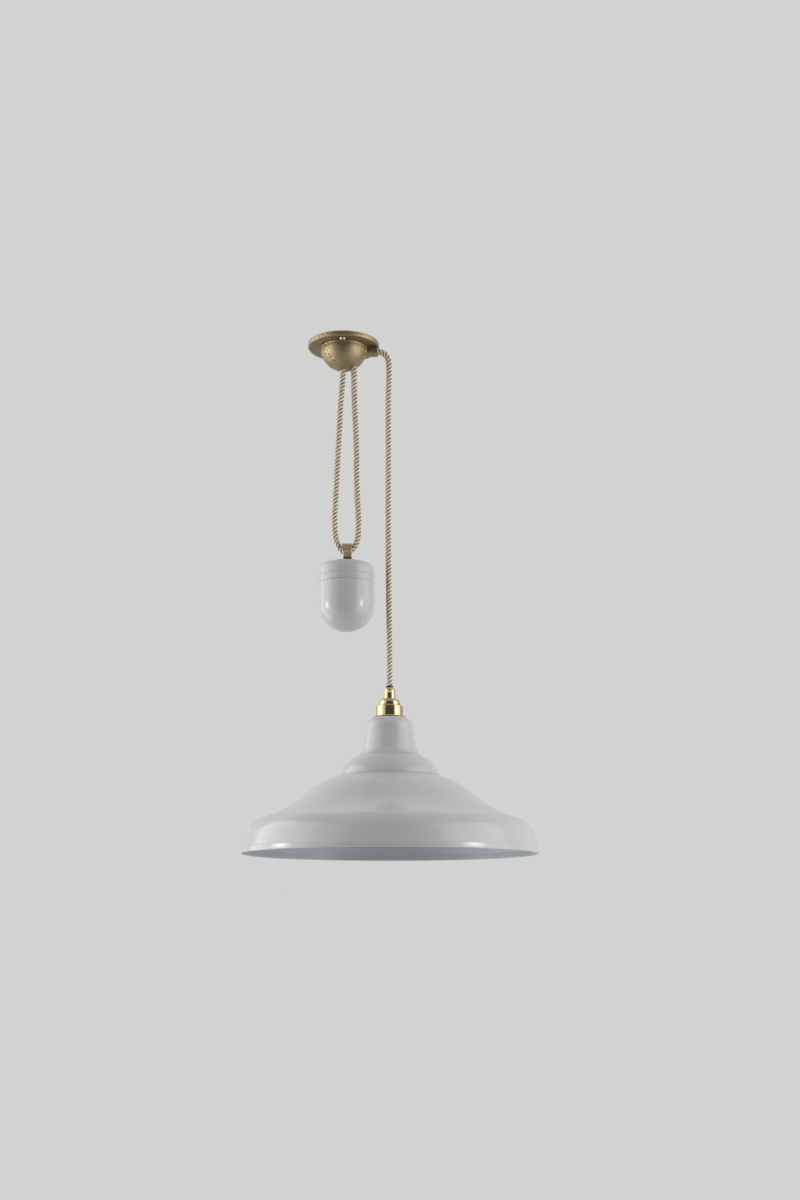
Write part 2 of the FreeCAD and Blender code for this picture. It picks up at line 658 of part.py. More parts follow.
def terminal_block():
    """Three-pole terminal block with a lug for its fixing screw."""
    block = box(BLOCK_X0, BLOCK_X1, -BLOCK_HALF_Y, BLOCK_HALF_Y, -PLATE_T - BLOCK_H, -PLATE_T)
    block = block.fuse(box(BLOCK_X0, BLOCK_X1, BLOCK_HALF_Y, BLOCK_HALF_Y + BLOCK_LUG_L,
                           -PLATE_T - BLOCK_LUG_T, -PLATE_T))
    x, y = block_screw_place()
    block = block.cut(cylinder(x, y, -PLATE_T - BLOCK_LUG_T, -PLATE_T, BLOCK_SCREW_R + RUNNING))
    for index in range(POLES):
        block = block.cut(rod((BLOCK_X0, pole_y(index), POLE_Z), ALONG_X, BLOCK_X1 - BLOCK_X0,
                              BARREL_R))
        block = block.cut(cylinder(POLE_SCREW_X, pole_y(index), -PLATE_T - BLOCK_H, POLE_Z,
                                   POLE_SCREW_R + LOOSE))
    return one_solid(block)


def terminal_barrel(index):
    """Brass tube of one pole, tapped from below."""
    start = (BLOCK_X0 + BARREL_INSET, pole_y(index), POLE_Z)
    length = BLOCK_X1 - BLOCK_X0 - 2 * BARREL_INSET
    barrel = rod(start, ALONG_X, length, BARREL_R).cut(rod(start, ALONG_X, length, BARREL_BORE_R))
    return one_solid(barrel.cut(cylinder(POLE_SCREW_X, pole_y(index), POLE_Z - BARREL_R, POLE_Z,
                                         POLE_SCREW_R)))


def terminal_screw(index):
    """Grub screw of one pole, tight on its core."""
    low = -PLATE_T - BLOCK_H + POLE_SCREW_END_INSET
    grub = cylinder(POLE_SCREW_X, pole_y(index), low, POLE_Z - CORE_R, POLE_SCREW_R)
    slot_w = POLE_SCREW_R * GRUB_SLOT_SHARE
    slot = box(POLE_SCREW_X - POLE_SCREW_R, POLE_SCREW_X + POLE_SCREW_R, pole_y(index) - slot_w / 2,
               pole_y(index) + slot_w / 2, low, low + slot_w)
    return one_solid(grub.cut(slot))


def block_screw():
    """Screw that holds the terminal block to the plate."""
    x, y = block_screw_place()
    return screw((x, y, -PLATE_T - BLOCK_LUG_T), UP, BLOCK_SCREW_R, BLOCK_LUG_T + BLOCK_SCREW_DEPTH,
                 BLOCK_SCREW_HEAD_R, BLOCK_SCREW_HEAD_H)


def flex_core(index):
    """Core from the flex's fixed end into one pole of the block."""
    y = middle_out(index) * CORE_SPREAD
    end_x = POLE_SCREW_X - POLE_SCREW_R
    route = ((FIXED_FALL_X, y, FLEX_TOP_Z), (FIXED_FALL_X, y, POLE_Z),
             (BLOCK_X1 + BARREL_INSET * 2, pole_y(index), POLE_Z), (end_x, pole_y(index), POLE_Z))
    if pole_y(index) == y:
        route = route[:2] + route[3:]
    return tube_along(route, CORE_R, "flex_core_%d" % (index + 1))


# ================================================================ counterweight
def weight_lid():
    """Domed lid with a scored line, a spigot that screws into the shell and slots for the stirrup."""
    shoulder = (LID_SHOULDER_R, WEIGHT_TOP_Z - LID_SHOULDER_DROP)
    dome_mid = (LID_SHOULDER_R / 2, WEIGHT_TOP_Z - LID_MID_DROP)
    line_top = (WEIGHT_R, LID_LINE_Z + LINE_DEPTH)
    line_in = (WEIGHT_R - LINE_DEPTH, LID_LINE_Z)
    line_low = (WEIGHT_R, LID_LINE_Z - LINE_DEPTH)
    seam_top = (WEIGHT_R, WEIGHT_SEAM_Z + LINE_DEPTH)
    seam = (WEIGHT_R - LINE_DEPTH, WEIGHT_SEAM_Z)
    spigot_end = WEIGHT_SEAM_Z - LID_SPIGOT_H
    roof_corner = (LID_INNER_R, LID_ROOF_Z - (LID_INNER_R - LID_ROOF_R))
    edges = [arc(((0, WEIGHT_TOP_Z), dome_mid, shoulder)),
             arc((shoulder, LID_CORNER_MID, (WEIGHT_R, LID_CORNER_Z))),
             line((WEIGHT_R, LID_CORNER_Z), line_top),
             line(line_top, line_in), line(line_in, line_low), line(line_low, seam_top),
             line(seam_top, seam), line(seam, (LID_SPIGOT_R, WEIGHT_SEAM_Z)),
             line((LID_SPIGOT_R, WEIGHT_SEAM_Z), (LID_SPIGOT_R, spigot_end)),
             line((LID_SPIGOT_R, spigot_end), (LID_INNER_R, spigot_end)),
             line((LID_INNER_R, spigot_end), roof_corner),
             line(roof_corner, (LID_ROOF_R, LID_ROOF_Z)),
             line((LID_ROOF_R, LID_ROOF_Z), (0, LID_ROOF_Z)),
             line((0, LID_ROOF_Z), (0, WEIGHT_TOP_Z))]
    lid = turned(closed_face(edges), WEIGHT_X)
    half_w = STIRRUP_W / 2
    for side in (-1, 1):
        y = side * (STIRRUP_HALF_DEPTH - STIRRUP_T / 2)
        lid = lid.cut(box(WEIGHT_X - half_w, WEIGHT_X + half_w, y - STIRRUP_T / 2, y + STIRRUP_T / 2,
                          LID_ROOF_Z, WEIGHT_TOP_Z))
    return one_solid(lid)


def weight_shell():
    """Round-bottomed body of the weight, open at the top where the lid screws in."""
    inner_r = WEIGHT_R - SHELL_WALL
    half = math.sqrt(0.5)
    straight = SHELL_STRAIGHT_END_Z
    spigot_end = WEIGHT_SEAM_Z - LID_SPIGOT_H
    seam_low = (WEIGHT_R, WEIGHT_SEAM_Z - LINE_DEPTH)
    seam = (WEIGHT_R - LINE_DEPTH, WEIGHT_SEAM_Z)
    edges = [line((LID_SPIGOT_R, WEIGHT_SEAM_Z), seam), line(seam, seam_low),
             line(seam_low, (WEIGHT_R, straight)),
             arc(((WEIGHT_R, straight), (WEIGHT_R * half, straight - WEIGHT_R * half),
                  (0, straight - WEIGHT_R))),
             line((0, straight - WEIGHT_R), (0, straight - inner_r)),
             arc(((0, straight - inner_r), (inner_r * half, straight - inner_r * half),
                  (inner_r, straight))),
             line((inner_r, straight), (inner_r, spigot_end)),
             line((inner_r, spigot_end), (LID_SPIGOT_R, spigot_end)),
             line((LID_SPIGOT_R, spigot_end), (LID_SPIGOT_R, WEIGHT_SEAM_Z))]
    return one_solid(turned(closed_face(edges), WEIGHT_X))


def weight_ballast():
    """Iron ballast that fills the shell up to the height that balances the lamp."""
    inner_r = WEIGHT_R - SHELL_WALL
    half = math.sqrt(0.5)
    straight = SHELL_STRAIGHT_END_Z
    edges = [line((0, BALLAST_TOP_Z), (inner_r, BALLAST_TOP_Z)),
             line((inner_r, BALLAST_TOP_Z), (inner_r, straight)),
             arc(((inner_r, straight), (inner_r * half, straight - inner_r * half),
                  (0, straight - inner_r))),
             line((0, straight - inner_r), (0, BALLAST_TOP_Z))]
    return one_solid(turned(closed_face(edges), WEIGHT_X))


def stirrup():
    """Brass strip bent to an arch. Its legs pass through the lid and hang on the cross pin."""
    half_w = STIRRUP_W / 2
    arch = box(WEIGHT_X - half_w, WEIGHT_X + half_w, -STIRRUP_HALF_DEPTH, STIRRUP_HALF_DEPTH,
               STIRRUP_END_Z, STIRRUP_TOP_Z)
    top_edges = [e for e in arch.Edges if e.BoundBox.ZMin > STIRRUP_TOP_Z - RUNNING
                 and abs(e.BoundBox.YLength) < RUNNING]
    arch = arch.makeFillet(STIRRUP_CORNER_R, top_edges)
    inner = box(WEIGHT_X - half_w, WEIGHT_X + half_w, STIRRUP_T - STIRRUP_HALF_DEPTH,
                STIRRUP_HALF_DEPTH - STIRRUP_T, STIRRUP_END_Z - PAST, STIRRUP_TOP_Z - STIRRUP_T)
    inner_edges = [e for e in inner.Edges if e.BoundBox.ZMin > STIRRUP_TOP_Z - STIRRUP_T - RUNNING
                   and abs(e.BoundBox.YLength) < RUNNING]
    arch = arch.cut(inner.makeFillet(STIRRUP_CORNER_R - STIRRUP_T, inner_edges))
    for z, radius in ((ROLLER_Z, ROLLER_PIN_R), (cross_pin_z(), CROSS_PIN_R)):
        arch = arch.cut(rod((WEIGHT_X, -STIRRUP_HALF_DEPTH, z), ALONG_Y, STIRRUP_HALF_DEPTH * 2,
                            radius))
    under = STIRRUP_TOP_Z - STIRRUP_T
    rubbed = [e for e in arch.Edges if abs(e.BoundBox.ZMin - under) < RUNNING
              and abs(e.BoundBox.ZLength) < RUNNING and e.BoundBox.YLength > ROLLER_HALF_L]
    return one_solid(arch.makeFillet(STIRRUP_EDGE, rubbed))


def cross_pin_z():
    """The cross pin lies against the lid's flat underside."""
    return LID_ROOF_Z - CROSS_PIN_R


def stirrup_cross_pin():
    """Steel pin through both legs, under the lid."""
    return rod((WEIGHT_X, -CROSS_PIN_HALF_L, cross_pin_z()), ALONG_Y, 2 * CROSS_PIN_HALF_L,
               CROSS_PIN_R)


def roller_pin():
    """Pin through the legs that the roller turns on, ground flush outside."""
    return rod((WEIGHT_X, -STIRRUP_HALF_DEPTH, ROLLER_Z), ALONG_Y, 2 * STIRRUP_HALF_DEPTH,
               ROLLER_PIN_R)


def stirrup_roller():
    """Small grooved roller that the flex passes under."""
    pitch = ROLLER_R + FLEX_R + FLEX_GAP
    roller = grooved(ROLLER_HALF_L, ROLLER_RIM_R, pitch, ROLLER_PIN_R + RUNNING)
    return one_solid(roller.translated(Vector(WEIGHT_X, 0, ROLLER_Z)))


# ================================================================ shade and lampholder
def shade():
    """Spun shade: flat top, neck, rounded step, long slope and a hemmed edge."""
    foot_r = NECK_FLARE[-1][0]
    spread = SHADE_R - foot_r
    points = [(foot_r + share * spread, z) for share, z in zip(ARC_SHARES, ARC_Z)]
    wide = [points[first:first + 3] for first in range(0, len(points) - 1, 2)]
    top = line((SHADE_HOLE_R, SHADE_TOP_Z), NECK_TOP[0])
    neck = line(NECK_TOP[-1], NECK_FLARE[0])
    hem_top = (SHADE_R - SHADE_HEM_STEP, SHADE_EDGE_Z + SHADE_HEM_H)
    skirt = line(wide[-1][-1], hem_top)
    profile = Part.Wire([top, arc(NECK_TOP), neck, arc(NECK_FLARE)] + [arc(p) for p in wide]
                        + [skirt])
    shell = turned(profile.makeOffset2D(-SHADE_T, 0, True, True, True), 0)
    hem = tube(0, 0, SHADE_EDGE_Z, SHADE_EDGE_Z + SHADE_HEM_H, SHADE_R - SHADE_HEM_STEP - SHADE_T,
               SHADE_R)
    rim_edges = [e for e in hem.Edges if e.BoundBox.XLength > SHADE_R * 2 - RUNNING
                 and e.BoundBox.ZLength < RUNNING]
    hem = hem.makeFillet(SHADE_HEM_STEP / 2, rim_edges)
    body = shell.common(cylinder(0, 0, SHADE_EDGE_Z, SHADE_TOP_Z, SHADE_R))
    return one_solid(body.fuse(hem).translated(Vector(LAMP_X, 0, 0)))


def shade_ring():
    """Ring screwed on the barrel under the shade's top."""
    low = SHADE_TOP_Z - SHADE_T - RING_T
    ring = tube(LAMP_X, 0, low, SHADE_TOP_Z - SHADE_T, THREAD_R, RING_R)
    for step in range(RING_NOTCHES):
        angle = 2 * math.pi * (step + RING_NOTCH_START) / RING_NOTCHES
        x = LAMP_X + RING_R * math.cos(angle)
        ring = ring.cut(cylinder(x, RING_R * math.sin(angle), low, SHADE_TOP_Z - SHADE_T,
                                 RING_NOTCH_R))
    return one_solid(ring)


def lampholder_skirt():
    """Brass skirt with its flange on the shade. The barrel screws into it."""
    shoulder_in = (HOLDER_SKIRT_R - HOLDER_SHOULDER_ROUND, HOLDER_SHOULDER_Z)
    shoulder_out = (HOLDER_SKIRT_R, HOLDER_SHOULDER_Z - HOLDER_SHOULDER_ROUND)
    bend = HOLDER_SHOULDER_ROUND * (1 - math.sqrt(0.5))
    shoulder_mid = (HOLDER_SKIRT_R - bend, HOLDER_SHOULDER_Z - bend)
    flange_top = (HOLDER_FLANGE_R, SHADE_TOP_Z + HOLDER_FLANGE_T)
    ledge = HOLDER_SHOULDER_Z - HOLDER_SHOULDER_T
    edges = [line((CAP_SPIGOT_R, HOLDER_SHOULDER_Z), shoulder_in),
             arc((shoulder_in, shoulder_mid, shoulder_out)),
             line(shoulder_out, (HOLDER_SKIRT_R, HOLDER_FLARE_Z)),
             arc(((HOLDER_SKIRT_R, HOLDER_FLARE_Z), HOLDER_FLARE_MID, flange_top)),
             line(flange_top, (HOLDER_FLANGE_R, SHADE_TOP_Z)),
             line((HOLDER_FLANGE_R, SHADE_TOP_Z), (THREAD_R, SHADE_TOP_Z)),
             line((THREAD_R, SHADE_TOP_Z), (THREAD_R, ledge)),
             line((THREAD_R, ledge), (CAP_SPIGOT_R, ledge)),
             line((CAP_SPIGOT_R, ledge), (CAP_SPIGOT_R, HOLDER_SHOULDER_Z))]
    return one_solid(turned(closed_face(edges), LAMP_X))


def lampholder_cap():
    """Brass dome with a bead round its foot, a spigot below and a threaded neck above."""
    bead_z = HOLDER_SHOULDER_Z + CAP_BEAD_T
    foot_z = HOLDER_SHOULDER_Z - HOLDER_SHOULDER_T
    rise = CAP_DOME_TOP_Z - bead_z
    bend = rise * CAP_DOME_BULGE
    shoulder_r = CAP_DOME_R - bend
    inner_roof = CAP_DOME_TOP_Z - CAP_WALL
    inner_r = CAP_DOME_R - CAP_WALL
    dome_mid = (CAP_DOME_R - bend / 4, CAP_DOME_TOP_Z - bend / 2)
    inner_mid = (inner_r - bend / 4, inner_roof - bend / 2)
    edges = [line((GRIP_BORE_R, CAP_NECK_TOP_Z), (CAP_NECK_R, CAP_NECK_TOP_Z)),
             line((CAP_NECK_R, CAP_NECK_TOP_Z), (CAP_NECK_R, CAP_DOME_TOP_Z)),
             line((CAP_NECK_R, CAP_DOME_TOP_Z), (shoulder_r, CAP_DOME_TOP_Z)),
             arc(((shoulder_r, CAP_DOME_TOP_Z), dome_mid, (CAP_DOME_R, bead_z))),
             line((CAP_DOME_R, bead_z), (CAP_BEAD_R, bead_z)),
             line((CAP_BEAD_R, bead_z), (CAP_BEAD_R, HOLDER_SHOULDER_Z)),
             line((CAP_BEAD_R, HOLDER_SHOULDER_Z), (CAP_SPIGOT_R, HOLDER_SHOULDER_Z)),
             line((CAP_SPIGOT_R, HOLDER_SHOULDER_Z), (CAP_SPIGOT_R, foot_z)),
             line((CAP_SPIGOT_R, foot_z), (CAP_SPIGOT_R - CAP_WALL, foot_z)),
             line((CAP_SPIGOT_R - CAP_WALL, foot_z), (CAP_SPIGOT_R - CAP_WALL, bead_z)),
             line((CAP_SPIGOT_R - CAP_WALL, bead_z), (inner_r, bead_z)),
             arc(((inner_r, bead_z), inner_mid, (shoulder_r - CAP_WALL / 2, inner_roof))),
             line((shoulder_r - CAP_WALL / 2, inner_roof), (GRIP_BORE_R, inner_roof)),
             line((GRIP_BORE_R, inner_roof), (GRIP_BORE_R, CAP_NECK_TOP_Z))]
    return one_solid(turned(closed_face(edges), LAMP_X))


def cord_grip_nozzle():
    """Brass nozzle screwed over the cap's neck, which squeezes the grip bush."""
    edges = [line((GRIP_R, NOZZLE_TOP_Z), NOZZLE_SHOULDER[0]), arc(NOZZLE_SHOULDER),
             line(NOZZLE_SHOULDER[-1], (NOZZLE_R, CAP_DOME_TOP_Z)),
             line((NOZZLE_R, CAP_DOME_TOP_Z), (CAP_NECK_R, CAP_DOME_TOP_Z)),
             line((CAP_NECK_R, CAP_DOME_TOP_Z), (CAP_NECK_R, CAP_NECK_TOP_Z)),
             line((CAP_NECK_R, CAP_NECK_TOP_Z), (GRIP_R, CAP_NECK_TOP_Z)),
             line((GRIP_R, CAP_NECK_TOP_Z), (GRIP_R, NOZZLE_TOP_Z))]
    nozzle = turned(closed_face(edges), LAMP_X)
    return one_solid(nozzle.cut(rod((LAMP_X, -NOZZLE_R - PAST, GRUB_Z), ALONG_Y, NOZZLE_R + PAST - GRIP_R,
                                    GRUB_R)))


def grip_bush():
    """Black bush between the flex and the nozzle."""
    return one_solid(tube(LAMP_X, 0, GRIP_BOTTOM_Z, GRIP_TOP_Z, GRIP_BORE_R, GRIP_R))


def grub_screw():
    """Small screw in the nozzle's side."""
    outer_y = NOZZLE_R + GRUB_PROUD
    grub = rod((LAMP_X, -outer_y, GRUB_Z), ALONG_Y, outer_y - GRIP_R, GRUB_R)
    slot_w = GRUB_R * GRUB_SLOT_SHARE
    slot = box(LAMP_X - GRUB_R, LAMP_X + GRUB_R, -outer_y, slot_w - outer_y, GRUB_Z - slot_w / 2,
               GRUB_Z + slot_w / 2)
    return one_solid(grub.cut(slot).cut(cylinder(LAMP_X, 0, GRIP_BOTTOM_Z, GRIP_TOP_Z, GRIP_R)))


def bayonet_slot(side):
    """One slot of the bayonet: up from the barrel's end, then round to where the pin rests."""
    rise = box(LAMP_X - SLOT_W / 2, LAMP_X + SLOT_W / 2, 0, THREAD_R + PAST, BARREL_END_Z,
               SLOT_TOP_Z)
    centre = Vector(LAMP_X, 0, 0)
    ring = tube(LAMP_X, 0, SLOT_TOP_Z - SLOT_W, SLOT_TOP_Z, SOCKET_R - PAST, THREAD_R + PAST)
    wedge = Part.makeCylinder(THREAD_R + PAST, SLOT_W, Vector(LAMP_X, 0, SLOT_TOP_Z - SLOT_W), UP,
                              SLOT_RUN_DEG)
    wedge.rotate(centre, UP, QUARTER_TURN - SLOT_RUN_DEG)
    slot = rise.fuse(ring.common(wedge))
    if side > 0:
        return slot
    return slot.copy().rotate(centre, UP, FULL_TURN / 2)


def lampholder_barrel():
    """Threaded brass barrel: bore for the lamp cap with two bayonet slots, pocket for the insert."""
    barrel = tube(LAMP_X, 0, BARREL_END_Z, BARREL_TOP_Z, SOCKET_R, THREAD_R)
    barrel = barrel.cut(cylinder(LAMP_X, 0, SOCKET_STEP_Z, BARREL_TOP_Z, POCKET_R))
    for side in (-1, 1):
        barrel = barrel.cut(bayonet_slot(side))
    return one_solid(barrel)


def lampholder_insert():
    """Insulating insert with stepped bores for the plungers and a rim that rests in the barrel."""
    insert_r = POCKET_R - RUNNING
    insert = cylinder(LAMP_X, 0, INSERT_FACE_Z, INSERT_TOP_Z, insert_r)
    insert = insert.fuse(tube(LAMP_X, 0, SOCKET_STEP_Z, INSERT_FACE_Z, insert_r - INSERT_RIM_T,
                              insert_r))
    for side in (-1, 1):
        x = LAMP_X + side * CONTACT_OFFSET
        insert = insert.cut(cylinder(x, 0, PLUNGER_STEP_Z, INSERT_TOP_Z, PLUNGER_SHOULDER_R + RUNNING * 2))
        insert = insert.cut(cylinder(x, 0, INSERT_FACE_Z, PLUNGER_STEP_Z, PLUNGER_R + RUNNING))
    return one_solid(insert)


def plunger(side):
    """Sprung contact with a rounded tip and a shoulder that stops it in the insert."""
    x = LAMP_X + side * CONTACT_OFFSET
    stem = cylinder(x, 0, PLUNGER_TIP_Z, PLUNGER_STEP_Z, PLUNGER_R)
    tip = [e for e in stem.Edges if e.BoundBox.ZMax < PLUNGER_TIP_Z + RUNNING]
    stem = stem.makeFillet(PLUNGER_TIP_ROUND, tip)
    return one_solid(stem.fuse(cylinder(x, 0, PLUNGER_STEP_Z, PLUNGER_STEP_Z + PLUNGER_SHOULDER_T,
                                        PLUNGER_SHOULDER_R)))


def plunger_spring(side):
    """Coil spring between a plunger's shoulder and its terminal."""
    low = PLUNGER_STEP_Z + PLUNGER_SHOULDER_T + SPRING_WIRE_R
    height = INSERT_TOP_Z - SPRING_WIRE_R - low
    helix = Part.makeHelix(height / SPRING_TURNS, height, SPRING_R)
    section = Part.Wire(Part.Circle(Vector(SPRING_R, 0, 0), ALONG_Y, SPRING_WIRE_R).toShape())
    coil = Part.Wire(helix.Edges).makePipeShell([section], True, True)
    return Part.Solid(coil.translated(Vector(LAMP_X + side * CONTACT_OFFSET, 0, low)))


def contact_terminal(side):
    """Brass block over a spring, with a hole for its core and a tapped hole for its screw."""
    x0, x1 = sorted((LAMP_X + side * CONTACT_X0, LAMP_X + side * CONTACT_X1))
    top = INSERT_TOP_Z + CONTACT_H
    block = box(x0, x1, -CONTACT_HALF_Y, CONTACT_HALF_Y, INSERT_TOP_Z, top)
    core_x = LAMP_X + side * CONTACT_CORE_X
    block = block.cut(cylinder(core_x, 0, top - CORE_HOLE_DEPTH, top, CORE_R + RUNNING * 2))
    screw_hole = rod((core_x, -CONTACT_HALF_Y, top - CORE_HOLE_DEPTH / 2), ALONG_Y,
                     CONTACT_HALF_Y - CORE_R, CONTACT_SCREW_R)
    return one_solid(block.cut(screw_hole))


def contact_screw(side):
    """Grub screw in the side of a contact terminal, tight on its core."""
    core_x = LAMP_X + side * CONTACT_CORE_X
    z = INSERT_TOP_Z + CONTACT_H - CORE_HOLE_DEPTH / 2
    grub = rod((core_x, -CONTACT_HALF_Y, z), ALONG_Y, CONTACT_HALF_Y - CORE_R, CONTACT_SCREW_R)
    slot_w = CONTACT_SCREW_R * GRUB_SLOT_SHARE
    slot = box(core_x - CONTACT_SCREW_R, core_x + CONTACT_SCREW_R, -CONTACT_HALF_Y,
               slot_w - CONTACT_HALF_Y, z - slot_w / 2, z + slot_w / 2)
    return one_solid(grub.cut(slot))


def earth_terminal():
    """Brass block on the insert that takes the earth core and touches the barrel's wall."""
    top = INSERT_TOP_Z + CONTACT_H
    block = box(LAMP_X - EARTH_HALF_X, LAMP_X + EARTH_HALF_X, EARTH_Y0, EARTH_Y1, INSERT_TOP_Z, top)
    return one_solid(block.cut(cylinder(LAMP_X, EARTH_CORE_Y, top - CORE_HOLE_DEPTH, top,
                                        CORE_R + RUNNING * 2)))


def lamp_core(dx, dy, end_x, end_y, name):
    """Core from the end of the sheath down into a terminal."""
    top = INSERT_TOP_Z + CONTACT_H
    end_z = top - CORE_HOLE_DEPTH + RUNNING
    bend_z = top + CORE_HOLE_DEPTH
    route = ((LAMP_X + dx, dy, SHEATH_END_Z), (LAMP_X + dx, dy, SHEATH_END_Z - CORE_HOLE_DEPTH),
             (LAMP_X + end_x, end_y, bend_z), (LAMP_X + end_x, end_y, end_z))
    return tube_along(route, CORE_R, name)


# ================================================================ flex
def flex_loop():
    """Flex from its clamped end, down round the stirrup's roller and up into the cup."""
    return tube_along([(x, 0, z) for x, z in LOOP_ROUTE], FLEX_R, "flex_loop")


def flex_lamp_fall():
    """Flex over the guide pulley, out of the spout and down into the lampholder."""
    return tube_along([(x, 0, z) for x, z in LAMP_ROUTE], FLEX_R, "flex_lamp_fall")


def ceiling_nodes():
    """Pieces that stay on the ceiling."""
    nodes = {
        "mounting_strap": mounting_strap(), "ceiling_plate": ceiling_plate(),
        "pulley_cup": pulley_cup(), "cable_grommet": cable_grommet(), "spout_bush": spout_bush(),
        "guide_bracket": guide_bracket(), "guide_axle": guide_axle(), "anchor_leg": anchor_leg(),
        "anchor_saddle": anchor_saddle(), "anchor_foot_screw": foot_screw(),
        "terminal_block": terminal_block(), "terminal_block_screw": block_screw(),
        "flex_loop": flex_loop(), "flex_lamp_fall": flex_lamp_fall(),
        "plate_screw_front": plate_screw(-1), "plate_screw_back": plate_screw(1),
    }
    for index in range(2):
        number = index + 1
        nodes["cup_screw_%d" % number] = cup_screw(index)
        nodes["bracket_screw_%d" % number] = bracket_screw(index)
        nodes["anchor_screw_%d" % number] = anchor_screw(index)
    for index in range(POLES):
        number = index + 1
        nodes["terminal_barrel_%d" % number] = terminal_barrel(index)
        nodes["terminal_screw_%d" % number] = terminal_screw(index)
        nodes["flex_core_%d" % number] = flex_core(index)
    return nodes


def weight_nodes():
    """Pieces that move with the counterweight."""
    return {
        "weight_lid": weight_lid(), "weight_shell": weight_shell(),
        "weight_ballast": weight_ballast(), "stirrup": stirrup(),
        "stirrup_cross_pin": stirrup_cross_pin(), "roller_pin": roller_pin(),
    }


def lamp_nodes():
    """Pieces that move with the lamp."""
    spread = CORE_SPREAD
    nodes = {
        "shade": shade(), "shade_ring": shade_ring(), "lampholder_skirt": lampholder_skirt(),
        "lampholder_cap": lampholder_cap(), "cord_grip_nozzle": cord_grip_nozzle(),
        "grip_bush": grip_bush(), "grub_screw": grub_screw(),
        "lampholder_barrel": lampholder_barrel(), "lampholder_insert": lampholder_insert(),
        "earth_terminal": earth_terminal(),
        "lamp_core_1": lamp_core(-spread, 0, -CONTACT_CORE_X, 0, "lamp_core_1"),
        "lamp_core_2": lamp_core(spread, 0, CONTACT_CORE_X, 0, "lamp_core_2"),
        "lamp_core_3": lamp_core(0, spread, 0, EARTH_CORE_Y, "lamp_core_3"),
    }
    for number, side in ((1, -1), (2, 1)):
        nodes["contact_terminal_%d" % number] = contact_terminal(side)
        nodes["contact_screw_%d" % number] = contact_screw(side)
        nodes["plunger_spring_%d" % number] = plunger_spring(side)
    return nodes


def turning_nodes():
    """Pieces that turn or slide by themselves."""
    return {
        "guide_pulley": guide_pulley(), "stirrup_roller": stirrup_roller(),
        "plunger_1": plunger(-1), "plunger_2": plunger(1),
    }


def main():
    os.makedirs("parts", exist_ok=True)
    for group in (ceiling_nodes, weight_nodes, lamp_nodes, turning_nodes):
        for name, solid in group().items():
            if not solid.isValid():
                raise ValueError(name + " is not a valid solid")
            solid.exportStep("parts/" + name + ".step")
            print("%-22s %10.1f mm3" % (name, solid.Volume))


main()
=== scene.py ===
"""Rise and fall pendant: a spun shade on a braided flex, a painted counterweight and a cast brass cup.

Metres, in the frame of the solid model. The ceiling is at height 0, the lamp hangs at +X and the
camera looks along +Y.
"""
import json
import math

import bmesh
import bpy
import numpy as np
from mathutils import Matrix, Vector

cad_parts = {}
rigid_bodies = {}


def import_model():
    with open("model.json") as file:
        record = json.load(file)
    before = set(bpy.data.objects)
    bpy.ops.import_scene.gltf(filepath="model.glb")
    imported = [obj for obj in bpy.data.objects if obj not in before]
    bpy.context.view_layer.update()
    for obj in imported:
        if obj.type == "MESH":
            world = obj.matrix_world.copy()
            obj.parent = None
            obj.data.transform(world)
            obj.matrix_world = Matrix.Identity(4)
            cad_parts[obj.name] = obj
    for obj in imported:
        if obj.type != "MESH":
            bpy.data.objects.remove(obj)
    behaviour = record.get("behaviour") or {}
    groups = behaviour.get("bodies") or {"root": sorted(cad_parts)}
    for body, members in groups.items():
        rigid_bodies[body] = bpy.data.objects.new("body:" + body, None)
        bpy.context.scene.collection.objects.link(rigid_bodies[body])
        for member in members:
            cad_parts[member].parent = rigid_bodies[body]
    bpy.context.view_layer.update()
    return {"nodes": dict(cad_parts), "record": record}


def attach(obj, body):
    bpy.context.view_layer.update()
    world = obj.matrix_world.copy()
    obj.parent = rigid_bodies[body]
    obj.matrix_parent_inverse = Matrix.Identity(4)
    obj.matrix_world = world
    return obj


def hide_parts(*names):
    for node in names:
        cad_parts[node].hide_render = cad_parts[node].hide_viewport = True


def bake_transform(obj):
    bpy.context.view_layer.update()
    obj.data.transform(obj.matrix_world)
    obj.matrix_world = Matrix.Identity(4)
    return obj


bl_info = {
    "name": "Rise and fall pendant",
    "version": (1, 0, 0),
    "blender": (4, 5, 0),
    "location": "3D View > Sidebar > Pendant",
    "description": "Builds a counterweighted ceiling pendant round its solid model",
    "category": "Object",
}

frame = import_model()

MM = 0.001
WELD = 1e-6           # points nearer than this are one point
LAMP_X = 55.5         # millimetres, the lamp's axis
WEIGHT_X = 3.5        # the weight's axis
MIDWAY = math.sqrt(0.5)            # share of a radius, along both axes, at 45 degrees
ROLLER_Z = -247.2     # the stirrup roller's axis
THREAD_TOP, THREAD_END, THREAD_PITCH = -440.4, -482.6, 1.0
SMOOTH_BEND = 35.0    # degrees, edges sharper than this stay sharp

FLEX_SIDES = 48       # faces round the flex
FLEX_SPACING = 0.00046             # metres between its rings of faces
YARNS = 4             # yarns in a strand of its braid

RIM_R = 27.0          # millimetres, outside this the castings' skin may be moved down
RIM_FADE = 2.0        # over this much more it comes to its full movement
UNDERSIDE_Z = -0.8    # faces whose normals point further down than this are the underside
UNDERSIDE_SHADE = 0.17              # how much darker the plate's underside is painted, as painted shade where it faces down

PIT_SIDE = -0.020     # metres, the pits of the castings gather round this X
PIT_FADE = 11.0       # how fast they thin out from there, for each metre
PIT_PATCH = (0.30, 0.44)           # range of patchy noise over which they set in
PIT_SCALE = 330.0

LIGHTS_X = 0.03       # metres, the point that the lights face
LIGHTS_Z = -0.35
SPARKS_Z = -0.42      # the small round lights' height

